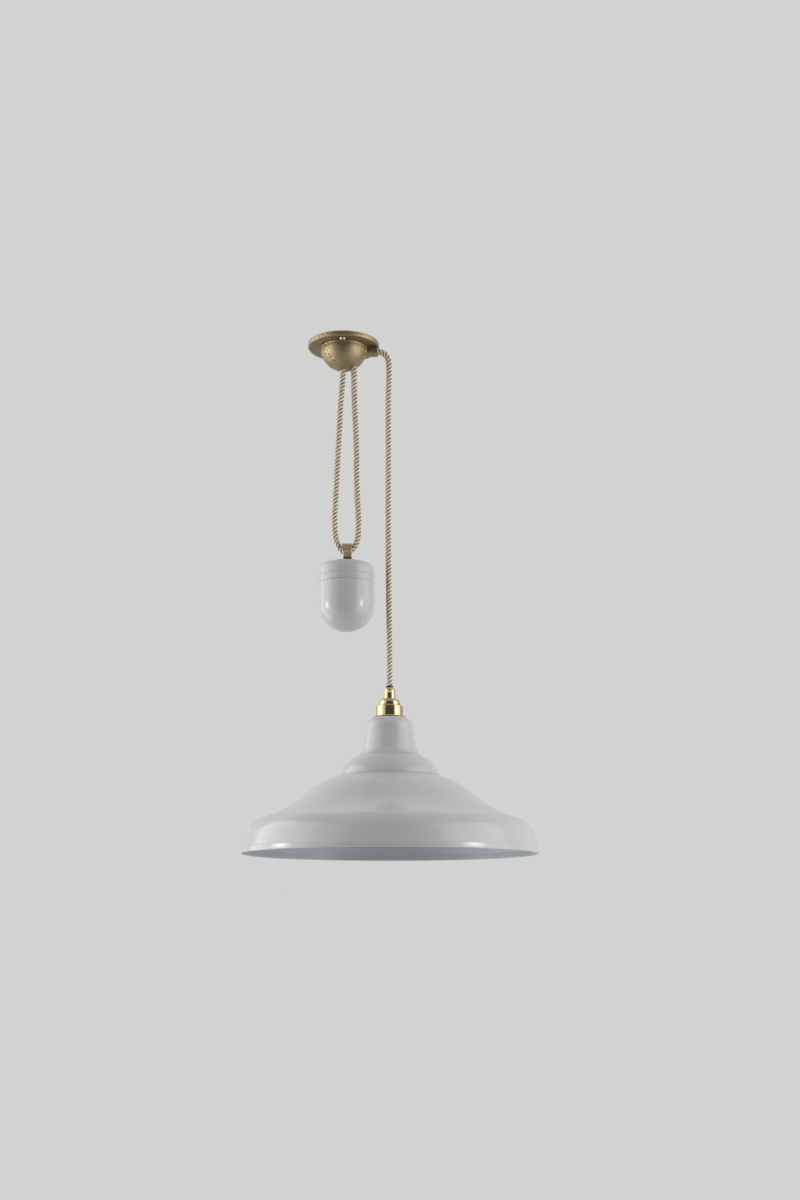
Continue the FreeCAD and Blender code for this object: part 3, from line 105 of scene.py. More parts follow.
# Control points of the two lengths of flex, (X, Z) in metres at Y = 0
LOOP_ROUTE = (
    (-0.0007, -0.0140), (-0.0007, -0.0360), (-0.0039, -0.0700), (-0.0069, -0.1280),
    (-0.0094, -0.1770), (-0.0119, -0.2210), (-0.0082, -0.2435), (0.00116, -0.25285),
    (0.00584, -0.25285), (0.0163, -0.2424), (0.0183, -0.2180), (0.0155, -0.1720),
    (0.0155, -0.1180), (0.0124, -0.0660), (0.0124, -0.02233),
)
LAMP_ROUTE = (
    (0.0124, -0.02233), (0.0124, -0.0125), (0.0159, -0.0090), (0.0257, -0.0090),
    (0.0469, -0.0090), (0.0546, -0.0172), (0.0549, -0.0340), (0.0537, -0.0700),
    (0.0541, -0.1300), (0.0537, -0.2050), (0.0544, -0.2900), (0.0555, -0.3720),
    (0.0555, -0.4310),
)


# ================================================================ sizes and colours
class FlexSettings(bpy.types.PropertyGroup):
    diameter: bpy.props.FloatProperty(
        name="Diameter", description="Thickness of the flex over its braid",
        default=0.007, unit="LENGTH")
    relief: bpy.props.FloatProperty(
        name="Relief", description="Height of a strand of the braid",
        default=0.00032, unit="LENGTH")
    strands: bpy.props.IntProperty(
        name="Strands", description="Strands that wind each way round the flex", default=6)
    pitch: bpy.props.FloatProperty(
        name="Pitch", description="Length of one crossing of the braid, along the flex",
        default=0.00225, unit="LENGTH")
    light: bpy.props.FloatVectorProperty(
        name="Light thread", description="Colour of most of the strands",
        subtype="COLOR", default=(0.98, 0.88, 0.70))
    dark: bpy.props.FloatVectorProperty(
        name="Dark thread", description="Every second strand that winds one way",
        subtype="COLOR", default=(0.22, 0.17, 0.11))
    middle: bpy.props.FloatVectorProperty(
        name="Middle thread", description="The other strands where they cross a dark one",
        subtype="COLOR", default=(0.30, 0.235, 0.155))


class PaintSettings(bpy.types.PropertyGroup):
    outside: bpy.props.FloatVectorProperty(
        name="Outside", description="Paint on the shade and the weight",
        subtype="COLOR", default=(0.54, 0.54, 0.53))
    inside: bpy.props.FloatVectorProperty(
        name="Inside", description="Paint inside the shade",
        subtype="COLOR", default=(0.44, 0.49, 0.53))
    steps: bpy.props.IntProperty(
        name="Steps", description="Faces round the shade", default=192)


class BrassSettings(bpy.types.PropertyGroup):
    cast: bpy.props.FloatVectorProperty(
        name="Cast brass", description="Bare metal of the cup and plate",
        subtype="COLOR", default=(0.48, 0.40, 0.23))
    patina: bpy.props.FloatVectorProperty(
        name="Patina", description="Dark film on the cast brass",
        subtype="COLOR", default=(0.22, 0.17, 0.095))
    polished: bpy.props.FloatVectorProperty(
        name="Polished brass", description="Lampholder and screws",
        subtype="COLOR", default=(0.68, 0.56, 0.31))
    voxel: bpy.props.FloatProperty(
        name="Casting detail", description="Size of the faces of the cast pieces",
        default=0.0004, unit="LENGTH")


class StageSettings(bpy.types.PropertyGroup):
    lens: bpy.props.FloatProperty(
        name="Lens", description="Focal length on a 36 mm long side",
        default=44.82, unit="CAMERA")
    place: bpy.props.FloatVectorProperty(
        name="Camera", description="Where the camera stands",
        subtype="TRANSLATION", default=(0.0681, -1.808, -0.704))
    shift: bpy.props.FloatProperty(
        name="Shift", description="Upward shift of the picture, as a share of its height",
        default=0.2716)
    floor: bpy.props.FloatProperty(
        name="Floor", description="Height of the floor", default=-2.4, unit="LENGTH")
    backdrop: bpy.props.FloatVectorProperty(
        name="Backdrop", description="Pale grey behind the pendant",
        subtype="COLOR", default=(0.645, 0.645, 0.638))
    left: bpy.props.FloatProperty(
        name="Left light", description="Power of the left softboxes", default=36.5, unit="POWER")
    right: bpy.props.FloatProperty(
        name="Right light", description="Power of the right softbox", default=24.0, unit="POWER")
    spark: bpy.props.FloatProperty(
        name="Spark", description="Power of the small round lights for each square metre",
        default=15.0)


# ================================================================ node trees
class Tree:
    """Adds and links nodes in one node tree."""

    def __init__(self, tree):
        self.tree = tree

    def add(self, kind, feeds=None, **settings):
        node = self.tree.nodes.new(kind)
        for name, value in settings.items():
            setattr(node, name, value)
        for name, value in (feeds or {}).items():
            self.feed(node.inputs[name], value)
        return node

    def feed(self, socket, value):
        if isinstance(value, bpy.types.NodeSocket):
            self.tree.links.new(value, socket)
        else:
            socket.default_value = value

    def math(self, operation, *values, clamp=False):
        return self.add("ShaderNodeMath", dict(enumerate(values)), operation=operation,
                        use_clamp=clamp).outputs[0]

    def vector(self, operation, *values):
        node = self.add("ShaderNodeVectorMath", dict(enumerate(values)), operation=operation)
        return node.outputs["Value" if operation in ("LENGTH", "DOT_PRODUCT") else "Vector"]

    def scaled(self, vector, factor):
        return self.add("ShaderNodeVectorMath", {"Vector": vector, "Scale": factor},
                        operation="SCALE").outputs["Vector"]

    def noise(self, scale, detail=2.0, roughness=0.5, at=None):
        feeds = {"Vector": at or self.place, "Scale": scale, "Detail": detail,
                 "Roughness": roughness}
        return self.add("ShaderNodeTexNoise", feeds).outputs["Fac"]

    def lines(self, along, scale, detail):
        """Noise that changes along one direction only."""
        feeds = {"W": along, "Scale": scale, "Detail": detail}
        return self.add("ShaderNodeTexNoise", feeds, noise_dimensions="1D").outputs["Fac"]

    def spots(self, scale):
        return self.add("ShaderNodeTexVoronoi",
                        {"Vector": self.place, "Scale": scale}).outputs["Distance"]

    def between(self, value, low, high, to_low=0.0, to_high=1.0):
        feeds = {0: value, 1: low, 2: high, 3: to_low, 4: to_high}
        return self.add("ShaderNodeMapRange", feeds, clamp=True).outputs[0]

    def choose(self, factor, first, second):
        """The first number where the factor is 0, the second where it is 1."""
        return self.add("ShaderNodeMix", {0: factor, 2: first, 3: second}).outputs[0]

    def lobe(self, share):
        """A half wave: 0 at shares 0 and 1, and 1 in the middle."""
        return self.math("SINE", self.math("MULTIPLY", share, math.pi))

    def crossing(self, turn, along):
        """Crossing strands of a braid.

        Gives which strand is on top (0 the rising, 1 the falling one), how far across each of
        the two a point is, and whether the falling one is an odd one.
        """
        rising = self.math("ADD", turn, along)
        falling = self.math("SUBTRACT", turn, along)
        number = self.math("FLOOR", falling)
        upper = self.math("PINGPONG", self.math("ADD", self.math("FLOOR", rising), number), 1.0)
        across = [self.math("FRACT", strand) for strand in (rising, falling)]
        return upper, across, self.math("PINGPONG", number, 1.0)

    def pits(self, bottom, rim):
        """How far into a pit each point is, from 0 to 1. The pits gather on one side."""
        side = self.math("ABSOLUTE", self.math("SUBTRACT", self.split(self.place)[0], PIT_SIDE))
        patch = self.math("SUBTRACT", self.noise(60.0, 1.0), self.math("MULTIPLY", side, PIT_FADE))
        deep = self.between(self.spots(PIT_SCALE), bottom, rim, 1.0, 0.0)
        return self.math("MULTIPLY", deep, self.between(patch, *PIT_PATCH))

    def split(self, vector):
        return self.add("ShaderNodeSeparateXYZ", {0: vector}).outputs

    def join(self, x=0.0, y=0.0, z=0.0):
        return self.add("ShaderNodeCombineXYZ", {0: x, 1: y, 2: z}).outputs[0]


class Finish(Tree):
    """A material being built on one Principled shader."""

    def __init__(self, name, **sockets):
        self.material = bpy.data.materials.new(name)
        self.material.use_nodes = True
        super().__init__(self.material.node_tree)
        self.shader = self.tree.nodes["Principled BSDF"]
        self.place = self.add("ShaderNodeTexCoord").outputs["Object"]
        self.set(**sockets)

    def set(self, **sockets):
        for name, value in sockets.items():
            self.feed(self.shader.inputs[name.replace("_", " ")], value)
        return self

    def centred(self, x, stretch):
        """Object coordinates measured from a piece's own axis, in stretched units."""
        return self.vector("MULTIPLY", self.vector("SUBTRACT", self.place, (x * MM, 0, 0)), stretch)

    def mix(self, factor, a, b):
        feeds = {0: factor, 6: a, 7: b}
        return self.add("ShaderNodeMix", feeds, data_type="RGBA").outputs[2]

    def attribute(self, name):
        return self.add("ShaderNodeAttribute", attribute_name=name).outputs["Fac"]

    def bump(self, height, distance, strength=1.0, over=None):
        feeds = {"Height": height, "Distance": distance, "Strength": strength}
        if over is not None:
            feeds["Normal"] = over
        return self.add("ShaderNodeBump", feeds).outputs["Normal"]


def colour(values, factor=1.0):
    """Colour with full alpha, brightened or darkened by a factor."""
    return tuple(v * factor for v in values[:3]) + (1.0,)


FINISHES = {}


def paint(name, base, axis_x, roughness=0.2, rings=0.0):
    """Gloss paint with orange peel, faint spinning rings, worn lighter edges and painted shade in its
    grooves.
    """
    finish = Finish(name, Specular_IOR_Level=0.55, Coat_Weight=0.12, Coat_Roughness=0.08)
    cloud = finish.noise(14, 3)
    peel = finish.noise(520, 2)
    wear = finish.attribute("wear")
    tint = finish.mix(finish.between(cloud, 0.3, 0.7), colour(base, 0.965), colour(base, 1.035))
    # Painted shade: darker in grooves and creases, such as the steps of the shade and the seams of the
    # weight.
    groove_shade = finish.between(wear, -0.55, -0.15, 0.6, 0.0)
    tint = finish.mix(groove_shade, tint, colour(base, 0.5))
    worn = finish.math("MULTIPLY", finish.between(wear, 0.25, 0.7), finish.noise(160, 4), clamp=True)
    tint = finish.mix(worn, tint, colour(base, 1.12))
    smudge = finish.between(finish.noise(45, 5, 0.6), 0.35, 0.75, 0.0, 0.09)
    finish.set(Base_Color=tint, Roughness=finish.math("ADD", roughness - 0.03, smudge))
    normal = finish.bump(peel, 0.00006, 0.35)
    if rings:
        radius = finish.vector("LENGTH", finish.centred(axis_x, (1, 1, 0)))
        normal = finish.bump(finish.lines(radius, 420, 3), 0.00008, rings, normal)
    finish.set(Normal=normal)
    return finish.material


def cast_metal(name, bare, patina):
    """Sand-cast brass under a dark film, rubbed bright on its edges, with pits and grain."""
    finish = Finish(name, Metallic=0.92)
    wear = finish.attribute("wear")
    cloud = finish.noise(38, 5, 0.6)
    sand = finish.math("MULTIPLY", finish.noise(420, 3), 0.4)
    film = finish.between(finish.math("ADD", cloud, sand), 0.52, 0.88)
    base = finish.mix(film, colour(patina, 1.35), colour(bare, 0.82))
    base = finish.mix(finish.between(wear, 0.10, 0.42), base, colour(bare, 1.25))
    # Darker in hollows, where patina gathers; on the plate's underside this darkening is painted shade.
    base = finish.mix(finish.between(wear, -0.30, -0.06, 0.85, 0.0), base, colour(patina, 0.5))
    pit = finish.pits(0.19, 0.33)
    base = finish.mix(finish.math("MULTIPLY", pit, 0.92), base, colour(patina, 0.28))
    rough = finish.math("ADD", finish.between(cloud, 0.3, 0.7, 0.50, 0.38),
                        finish.math("MULTIPLY", pit, 0.3))
    finish.set(Base_Color=base, Roughness=rough)
    grain = finish.bump(finish.noise(900, 4, 0.65), 0.00010, 0.6)
    grain = finish.bump(finish.math("SUBTRACT", 1.0, pit), 0.00022, 0.8, grain)
    finish.set(Normal=grain)
    return finish.material


def turned_metal(name, base, roughness=0.1, tarnish=0.25, foot=None):
    """Polished turned brass: fine lathe lines, fingermarks and tarnish in its corners.

    Below the height foot, in mm, the brass is painted dark and made rougher, as painted shade where the
    flange sits on the shade.
    """
    finish = Finish(name, Metallic=1.0)
    wear = finish.attribute("wear")
    marks = finish.noise(110, 5, 0.62)
    dark = finish.between(wear, -0.30, -0.04, tarnish * 2.4, 0.0)
    tone = finish.mix(finish.between(marks, 0.35, 0.72), colour(base), colour(base, 0.86))
    tone = finish.mix(dark, tone, colour((base[0] * 0.30, base[1] * 0.24, base[2] * 0.16)))
    height = finish.split(finish.place)[2]
    rough = finish.between(marks, 0.3, 0.8, roughness, roughness + 0.12)
    if foot is not None:
        # Painted shade below the foot.
        foot_shade = finish.between(height, (foot - 0.3) * MM, (foot + 0.5) * MM, 0.9, 0.0)
        tone = finish.mix(foot_shade, tone, colour((base[0] * 0.20, base[1] * 0.18, base[2] * 0.15)))
        rough = finish.math("ADD", rough, finish.math("MULTIPLY", foot_shade, 0.35))
    lathe = finish.bump(finish.lines(height, 2600, 2), 0.00001, 0.35)
    finish.set(Base_Color=tone, Normal=lathe, Roughness=rough)
    return finish.material


def rolled_metal(name, base, roughness, stretch, film=0.6, painted_light_bands=()):
    """Drawn or pressed metal with fine lines along one direction and an uneven film.

    Each band gives (middle height, half height, brightness), in mm, of a stripe of painted highlight
    where the brightness is above 1 and of painted shade where it is below 1.
    """
    finish = Finish(name, Metallic=1.0)
    lines = finish.noise(900, 4, 0.6, finish.vector("MULTIPLY", finish.place, stretch))
    cloud = finish.noise(130, 4, 0.6)
    tone = finish.mix(finish.between(cloud, 0.32, 0.70), colour(base, film), colour(base))
    tone = finish.mix(finish.between(finish.attribute("wear"), 0.12, 0.5), tone, colour(base, 1.3))
    # Stripes of painted highlight and painted shade across the strip.
    for middle, half, factor in painted_light_bands:
        height = finish.split(finish.place)[2]
        off = finish.math("ABSOLUTE", finish.math("SUBTRACT", height, middle * MM))
        tone = finish.mix(finish.between(off, half * 0.4 * MM, half * MM, 1.0, 0.0), tone,
                          colour(base, factor))
    rough = finish.between(lines, 0.2, 0.8, roughness - 0.06, roughness + 0.1)
    finish.set(Base_Color=tone, Roughness=rough, Normal=finish.bump(lines, 0.00003, 0.5))
    return finish.material


def moulding(name, base, roughness, grain=1400, depth=0.00003):
    """Moulded plastic or rubber with a fine eroded grain."""
    finish = Finish(name)
    cloud = finish.noise(90, 3)
    tone = finish.mix(finish.between(cloud, 0.3, 0.7), colour(base, 0.9), colour(base, 1.1))
    rough = finish.between(finish.noise(260, 3), 0.3, 0.7, roughness - 0.05, roughness + 0.08)
    finish.set(Base_Color=tone, Roughness=rough,
               Normal=finish.bump(finish.noise(grain, 3, 0.6), depth, 0.6))
    return finish.material


def striped_core(name, base, second=None):
    """Insulation of a core, with a second colour along two sides where it has one."""
    finish = Finish(name)
    tone = finish.mix(finish.noise(300, 2), colour(base, 0.88), colour(base, 1.12))
    if second:
        side = finish.split(finish.place)
        wave = finish.math("SINE", finish.math("MULTIPLY", side[1], 2600.0))
        tone = finish.mix(finish.between(wave, -0.15, 0.15), tone, colour(second))
    finish.set(Base_Color=tone, Roughness=finish.between(finish.noise(700, 2), 0.3, 0.7, 0.32, 0.45),
               Normal=finish.bump(finish.noise(1800, 2), 0.00001, 0.5))
    return finish.material


def braid_cloth(name, flex):
    """Cotton braid: two colours of strand that cross, each of several fine yarns, with painted shade at
    the strands' edges and between the yarns.
    """
    finish = Finish(name, Sheen_Weight=0.25, Sheen_Roughness=0.6, Specular_IOR_Level=0.2)
    round_, along = finish.split(finish.add("ShaderNodeUVMap", uv_map="UVMap").outputs[0])[:2]
    turn = finish.math("MULTIPLY", round_, float(flex.strands))
    upper, across, every = finish.crossing(turn, along)
    yarn = finish.choose(upper, *(
        finish.math("COSINE", finish.math("MULTIPLY", place, YARNS * math.tau)) for place in across))
    edge = finish.choose(upper, *(finish.lobe(place) for place in across))
    fuzz = finish.noise(2200, 3, 0.7)
    rise = finish.mix(every, colour(flex.light, 0.95), colour(flex.middle))
    fall = finish.mix(every, colour(flex.light), colour(flex.dark))
    tone = finish.mix(upper, rise, fall)
    tone = finish.mix(finish.between(fuzz, 0.4, 0.75, 0.0, 0.14), tone, colour(flex.light, 1.1))
    # Painted shade where each strand dips under the next and in the grooves between its yarns.
    tone = finish.mix(finish.between(edge, 0.0, 0.45, 0.4, 0.0), tone, colour(flex.dark, 0.8))
    tone = finish.mix(finish.between(yarn, -1.0, -0.6, 0.35, 0.0), tone, colour(flex.dark, 0.8))
    normal = finish.bump(yarn, 0.00007, 0.6)
    finish.set(Base_Color=tone, Roughness=finish.between(fuzz, 0.3, 0.7, 0.72, 0.92),
               Normal=finish.bump(fuzz, 0.00006, 0.5, normal))
    return finish.material


# ================================================================ geometry node trees
class Shape(Tree):
    """A geometry node tree with a geometry input and output."""

    def __init__(self, name, **sockets):
        super().__init__(bpy.data.node_groups.new(name, "GeometryNodeTree"))
        face = self.tree.interface
        face.new_socket("Geometry", in_out="INPUT", socket_type="NodeSocketGeometry")
        face.new_socket("Geometry", in_out="OUTPUT", socket_type="NodeSocketGeometry")
        for label, kind in sockets.items():
            face.new_socket(label.replace("_", " "), in_out="INPUT",
                            socket_type="NodeSocket" + kind)
        self.inputs = self.add("NodeGroupInput").outputs
        self.place = self.add("GeometryNodeInputPosition").outputs[0]

    def store(self, geometry, name, kind, domain, value):
        return self.add("GeometryNodeStoreNamedAttribute",
                        {"Geometry": geometry, "Name": name, "Value": value},
                        data_type=kind, domain=domain).outputs[0]

    def finish(self, geometry, material="Material", selection=None):
        """Ends the tree: real faces, smooth shading and the piece's own material."""
        real = self.add("GeometryNodeRealizeInstances", {0: geometry}).outputs[0]
        smooth = self.add("GeometryNodeSetShadeSmooth", {0: real}).outputs[0]
        out = self.add("GeometryNodeSetMaterial",
                       {"Geometry": smooth, "Material": self.inputs[material]}).outputs[0]
        if selection is not None:
            out = self.add("GeometryNodeSetMaterial",
                           {"Geometry": out, "Selection": selection,
                            "Material": self.inputs["Second material"]}).outputs[0]
        self.add("NodeGroupOutput", {0: out})
        return self.tree


def spun_tree():
    """Turns a profile, a line of (radius, height) points, once round the upright axis."""
    shape = Shape("Spun", Steps="Int", Split="Int", Material="Material",
                  Second_material="Material")
    profile = shape.inputs["Geometry"]
    count = shape.add("GeometryNodeAttributeDomainSize", {0: profile}).outputs["Point Count"]
    rows = shape.math("ADD", shape.inputs["Steps"], 1)
    grid = shape.add("GeometryNodeMeshGrid",
                     {"Size X": 1.0, "Size Y": 1.0, "Vertices X": rows, "Vertices Y": count})
    sheet = shape.store(grid.outputs["Mesh"], "UVMap", "FLOAT2", "CORNER", grid.outputs["UV Map"])
    place = shape.split(shape.place)
    turn = shape.math("MULTIPLY", shape.math("ADD", place[0], 0.5), math.tau)
    last = shape.math("SUBTRACT", count, 1)
    column = shape.math("ROUND", shape.math("MULTIPLY", shape.math("ADD", place[1], 0.5), last))
    sheet = shape.store(sheet, "column", "FLOAT", "POINT", column)
    sample = shape.add("GeometryNodeSampleIndex",
                       {"Geometry": profile, "Index": column}, data_type="FLOAT_VECTOR")
    shape.feed(sample.inputs["Value"], shape.place)
    radius, _, height = shape.split(sample.outputs[0])
    round_ = shape.join(shape.math("MULTIPLY", radius, shape.math("COSINE", turn)),
                        shape.math("MULTIPLY", radius, shape.math("SINE", turn)), height)
    turned = shape.add("GeometryNodeSetPosition", {"Geometry": sheet, "Position": round_})
    joined = shape.add("GeometryNodeMergeByDistance",
                       {"Geometry": turned.outputs[0], "Distance": WELD}).outputs[0]
    level = shape.add("GeometryNodeInputNamedAttribute", {"Name": "column"}).outputs[0]
    inner = shape.add("FunctionNodeCompare", {0: level, 1: shape.inputs["Split"]},
                      operation="GREATER_EQUAL").outputs[0]
    return shape.finish(joined, selection=inner)


def braid_tree():
    """Sweeps a round tube along a line and raises the crossing strands of its braid."""
    shape = Shape("Braided flex", Radius="Float", Relief="Float", Strands="Int", Pitch="Float",
                  Sides="Int", Spacing="Float", Material="Material")
    given = shape.inputs
    line = shape.add("GeometryNodeMeshToCurve", {0: given["Geometry"]}).outputs[0]
    line = shape.add("GeometryNodeResampleCurve", {"Curve": line, "Length": given["Spacing"]},
                     mode="LENGTH").outputs[0]
    spline = shape.add("GeometryNodeSplineParameter")
    capture = shape.add("GeometryNodeCaptureAttribute", {0: line})
    capture.capture_items.new("FLOAT", "along")
    capture.capture_items.new("VECTOR", "middle")
    shape.feed(capture.inputs[1], spline.outputs["Length"])
    shape.feed(capture.inputs[2], shape.place)
    ring = shape.add("GeometryNodeCurveArc",
                     {"Resolution": shape.math("ADD", given["Sides"], 1), "Radius": given["Radius"],
                      "Sweep Angle": math.tau}, mode="RADIUS").outputs[0]
    edge = shape.add("GeometryNodeCaptureAttribute", {0: ring})
    edge.capture_items.new("FLOAT", "around")
    shape.feed(edge.inputs[1], shape.add("GeometryNodeSplineParameter").outputs["Factor"])
    tube = shape.add("GeometryNodeCurveToMesh",
                     {"Curve": capture.outputs[0], "Profile Curve": edge.outputs[0]}).outputs[0]
    pitches = shape.math("DIVIDE", capture.outputs[1], given["Pitch"])
    tube = shape.store(tube, "UVMap", "FLOAT2", "CORNER", shape.join(edge.outputs[1], pitches))
    turn = shape.math("MULTIPLY", edge.outputs[1], given["Strands"])
    upper, across, _ = shape.crossing(turn, pitches)
    ridges = [shape.lobe(place) for place in across]
    top = shape.choose(upper, *ridges)
    swell = shape.math("MULTIPLY_ADD", shape.choose(upper, *ridges[::-1]), 0.45, 0.55)
    height = shape.math("MULTIPLY", shape.math("POWER", top, 0.6), swell)
    lift = shape.math("MULTIPLY", shape.math("SUBTRACT", height, 0.75), given["Relief"])
    away = shape.vector("NORMALIZE", shape.vector("SUBTRACT", shape.place, capture.outputs[2]))
    raised = shape.add("GeometryNodeSetPosition",
                       {"Geometry": tube, "Offset": shape.scaled(away, lift)}).outputs[0]
    joined = shape.add("GeometryNodeMergeByDistance",
                       {"Geometry": raised, "Distance": WELD * 5}).outputs[0]
    return shape.finish(joined)


def screw_tree():
    """Sets a slotted head on each point, sized and aimed by the point's own values."""
    shape = Shape("Slotted screws", Pattern="Object", Material="Material")
    head = shape.add("GeometryNodeObjectInfo", {"Object": shape.inputs["Pattern"]})
    aim, size = (shape.add("GeometryNodeInputNamedAttribute", {"Name": name},
                           data_type="FLOAT_VECTOR") for name in ("aim", "size"))
    turn = shape.add("FunctionNodeAlignRotationToVector", {"Vector": aim.outputs[0]}, axis="Z",
                     pivot_axis="AUTO")
    placed = shape.add("GeometryNodeInstanceOnPoints",
                       {"Points": shape.inputs["Geometry"], "Instance": head.outputs["Geometry"],
                        "Rotation": turn.outputs[0], "Scale": size.outputs[0]})
    return shape.finish(placed.outputs[0])


def ridge_tree():
    """Repeats a small ridge round a circle, as knurling."""
    shape = Shape("Knurl", Radius="Float", Count="Int", Width="Float", Depth="Float",
                  Height="Float", Material="Material")
    given = shape.inputs
    ring = shape.add("GeometryNodeCurvePrimitiveCircle",
                     {"Resolution": given["Count"], "Radius": given["Radius"]}).outputs[0]
    points = shape.add("GeometryNodeCurveToPoints", {"Curve": ring}, mode="EVALUATED")
    bar = shape.add("GeometryNodeMeshCylinder",
                    {"Vertices": 4, "Radius": 1.0, "Depth": given["Height"]}).outputs["Mesh"]
    bars = shape.add("GeometryNodeInstanceOnPoints",
                     {"Points": points.outputs[0], "Instance": bar})
    place = shape.split(shape.place)
    angle = shape.math("ARCTAN2", place[1], place[0])
    spin = shape.add("FunctionNodeAxisAngleToRotation",
                     {"Axis": (0.0, 0.0, 1.0), "Angle": angle}).outputs[0]
    shape.feed(bars.inputs["Rotation"], spin)
    shape.feed(bars.inputs["Scale"], shape.join(given["Depth"], given["Width"], 1.0))
    return shape.finish(bars.outputs[0])


def casting_tree():
    """Softens a blank's corners, then presses sand grain and small pits into its skin."""
    shape = Shape("Casting", Softening="Int", Grain="Float", Pit_depth="Float",
                  Material="Material")
    soft = shape.add("GeometryNodeBlurAttribute",
                     {"Value": shape.place, "Iterations": shape.inputs["Softening"]},
                     data_type="FLOAT_VECTOR").outputs[0]
    skin = shape.add("GeometryNodeSetPosition",
                     {"Geometry": shape.inputs["Geometry"], "Position": soft}).outputs[0]
    sand = shape.math("SUBTRACT", shape.noise(700.0), 0.5)
    sunk = shape.math("MULTIPLY", shape.pits(0.16, 0.32), shape.inputs["Pit depth"])
    lift = shape.math("SUBTRACT", shape.math("MULTIPLY", sand, shape.inputs["Grain"]), sunk)
    way = shape.scaled(shape.add("GeometryNodeInputNormal").outputs[0], lift)
    rough = shape.add("GeometryNodeSetPosition", {"Geometry": skin, "Offset": way}).outputs[0]
    return shape.finish(rough)


TREES = {}


def linked(name, data):
    """A new object in the scene for a mesh, curve, lamp or camera."""
    item = bpy.data.objects.new(name, data)
    bpy.context.scene.collection.objects.link(item)
    return item


def baked(holder):
    """The plain mesh that a working object's modifiers give. The object is removed."""
    graph = bpy.context.evaluated_depsgraph_get()
    mesh = bpy.data.meshes.new_from_object(holder.evaluated_get(graph),
                                           preserve_all_data_layers=True, depsgraph=graph)
    bpy.data.batch_remove([holder, holder.data])
    return mesh


def through_nodes(name, mesh, tree, inputs):
    """A mesh run through a geometry node tree, as a plain mesh."""
    holder = linked(name + "_line", mesh)
    modifier = holder.modifiers.new("Shape", "NODES")
    modifier.node_group = tree
    for item in tree.interface.items_tree:
        if item.item_type == "SOCKET" and item.in_out == "INPUT" and item.name in inputs:
            modifier[item.identifier] = inputs[item.name]
    result = baked(holder)
    result.name = name
    if not result.polygons:
        raise RuntimeError(name + " has no faces")
    return result


# ================================================================ meshes
def line_mesh(points):
    """Mesh of one open line through points."""
    mesh = bpy.data.meshes.new("line")
    mesh.from_pydata([tuple(p) for p in points], [(i, i + 1) for i in range(len(points) - 1)], [])
    return mesh


def arc(start, middle, end, steps):
    """Points of the circle through three (radius, height) points, without the first."""
    (ax, ay), (bx, by), (cx, cy) = start, middle, end
    a, b, c = ax * ax + ay * ay, bx * bx + by * by, cx * cx + cy * cy
    d = 2 * (ax * (by - cy) + bx * (cy - ay) + cx * (ay - by))
    ux = (a * (by - cy) + b * (cy - ay) + c * (ay - by)) / d
    uy = (a * (cx - bx) + b * (ax - cx) + c * (bx - ax)) / d
    first, mid, last = (math.atan2(y - uy, x - ux) for x, y in (start, middle, end))
    left = (mid - first) % math.tau < (last - first) % math.tau
    sweep = (last - first) % math.tau if left else -((first - last) % math.tau)
    radius = math.hypot(ax - ux, ay - uy)
    return [(ux + radius * math.cos(first + sweep * i / steps),
             uy + radius * math.sin(first + sweep * i / steps)) for i in range(1, steps + 1)]


def rounded(corners, steps=5):
    """(radius, height) points of a profile. A corner's third value is the radius it is rounded to."""
    points = []
    for index, corner in enumerate(corners):
        if len(corner) < 3 or index in (0, len(corners) - 1):
            points.append(corner[:2])
            continue
        here = np.array(corner[:2], float)
        into = here - np.array(corners[index - 1][:2], float)
        out = np.array(corners[index + 1][:2], float) - here
        shorter = min(np.linalg.norm(into), np.linalg.norm(out))
        into, out = into / np.linalg.norm(into), out / np.linalg.norm(out)
        half = math.acos(max(-1.0, min(1.0, float(into @ out)))) / 2
        reach = min(corner[2] * math.tan(half), 0.48 * shorter)
        radius = reach / math.tan(half)
        inward = (out - into) / np.linalg.norm(out - into)
        start, end = here - into * reach, here + out * reach
        middle = here + inward * radius * (1 / math.cos(half) - 1)
        points.append(tuple(start))
        points.extend(arc(tuple(start), tuple(middle), tuple(end), steps))
    return points


def thick(outside, wall):
    """The other side of a wall: a line of points moved in by the wall, in reverse order."""
    line = np.array(outside, float)
    along = np.gradient(line, axis=0)
    along /= np.linalg.norm(along, axis=1)[:, None]
    inward = np.stack([along[:, 1], -along[:, 0]], axis=1)
    return [tuple(p) for p in (line + inward * wall)[::-1]]


def marked(mesh, blur=2, crease=SMOOTH_BEND):
    """Stores how far each point stands out from its neighbours, and sharpens real creases."""
    def listed(items, field, width, kind=float):
        values = np.zeros(len(items) * width, kind)
        items.foreach_get(field, values)
        return values.reshape(-1, width)

    count = len(mesh.vertices)
    place = listed(mesh.vertices, "co", 3)
    normals = listed(mesh.vertices, "normal", 3)
    a, b = listed(mesh.edges, "vertices", 2, int).T
    degree = np.bincount(np.concatenate([a, b]), minlength=count).clip(1)

    def around(values):
        total = np.zeros_like(values)
        np.add.at(total, a, values[b])
        np.add.at(total, b, values[a])
        return total / (degree[:, None] if values.ndim > 1 else degree)

    length = np.linalg.norm(place[a] - place[b], axis=1)
    reach = np.zeros(count)
    np.add.at(reach, a, length)
    np.add.at(reach, b, length)
    stand = ((place - around(place)) * normals).sum(1) / (reach / degree).clip(1e-9)
    for _ in range(blur):
        stand = (stand + around(stand)) / 2
    wear = mesh.attributes.get("wear") or mesh.attributes.new("wear", "FLOAT", "POINT")
    wear.data.foreach_set("value", (stand * 2).astype(np.float32))
    mesh.set_sharp_from_angle(angle=math.radians(crease))
    return mesh


def outward(mesh):
    """Turns a closed mesh's faces outward."""
    bm = bmesh.new()
    bm.from_mesh(mesh)
    if bm.calc_volume(signed=True) < 0:
        bmesh.ops.reverse_faces(bm, faces=bm.faces)
        bm.to_mesh(mesh)
    bm.free()
    return mesh


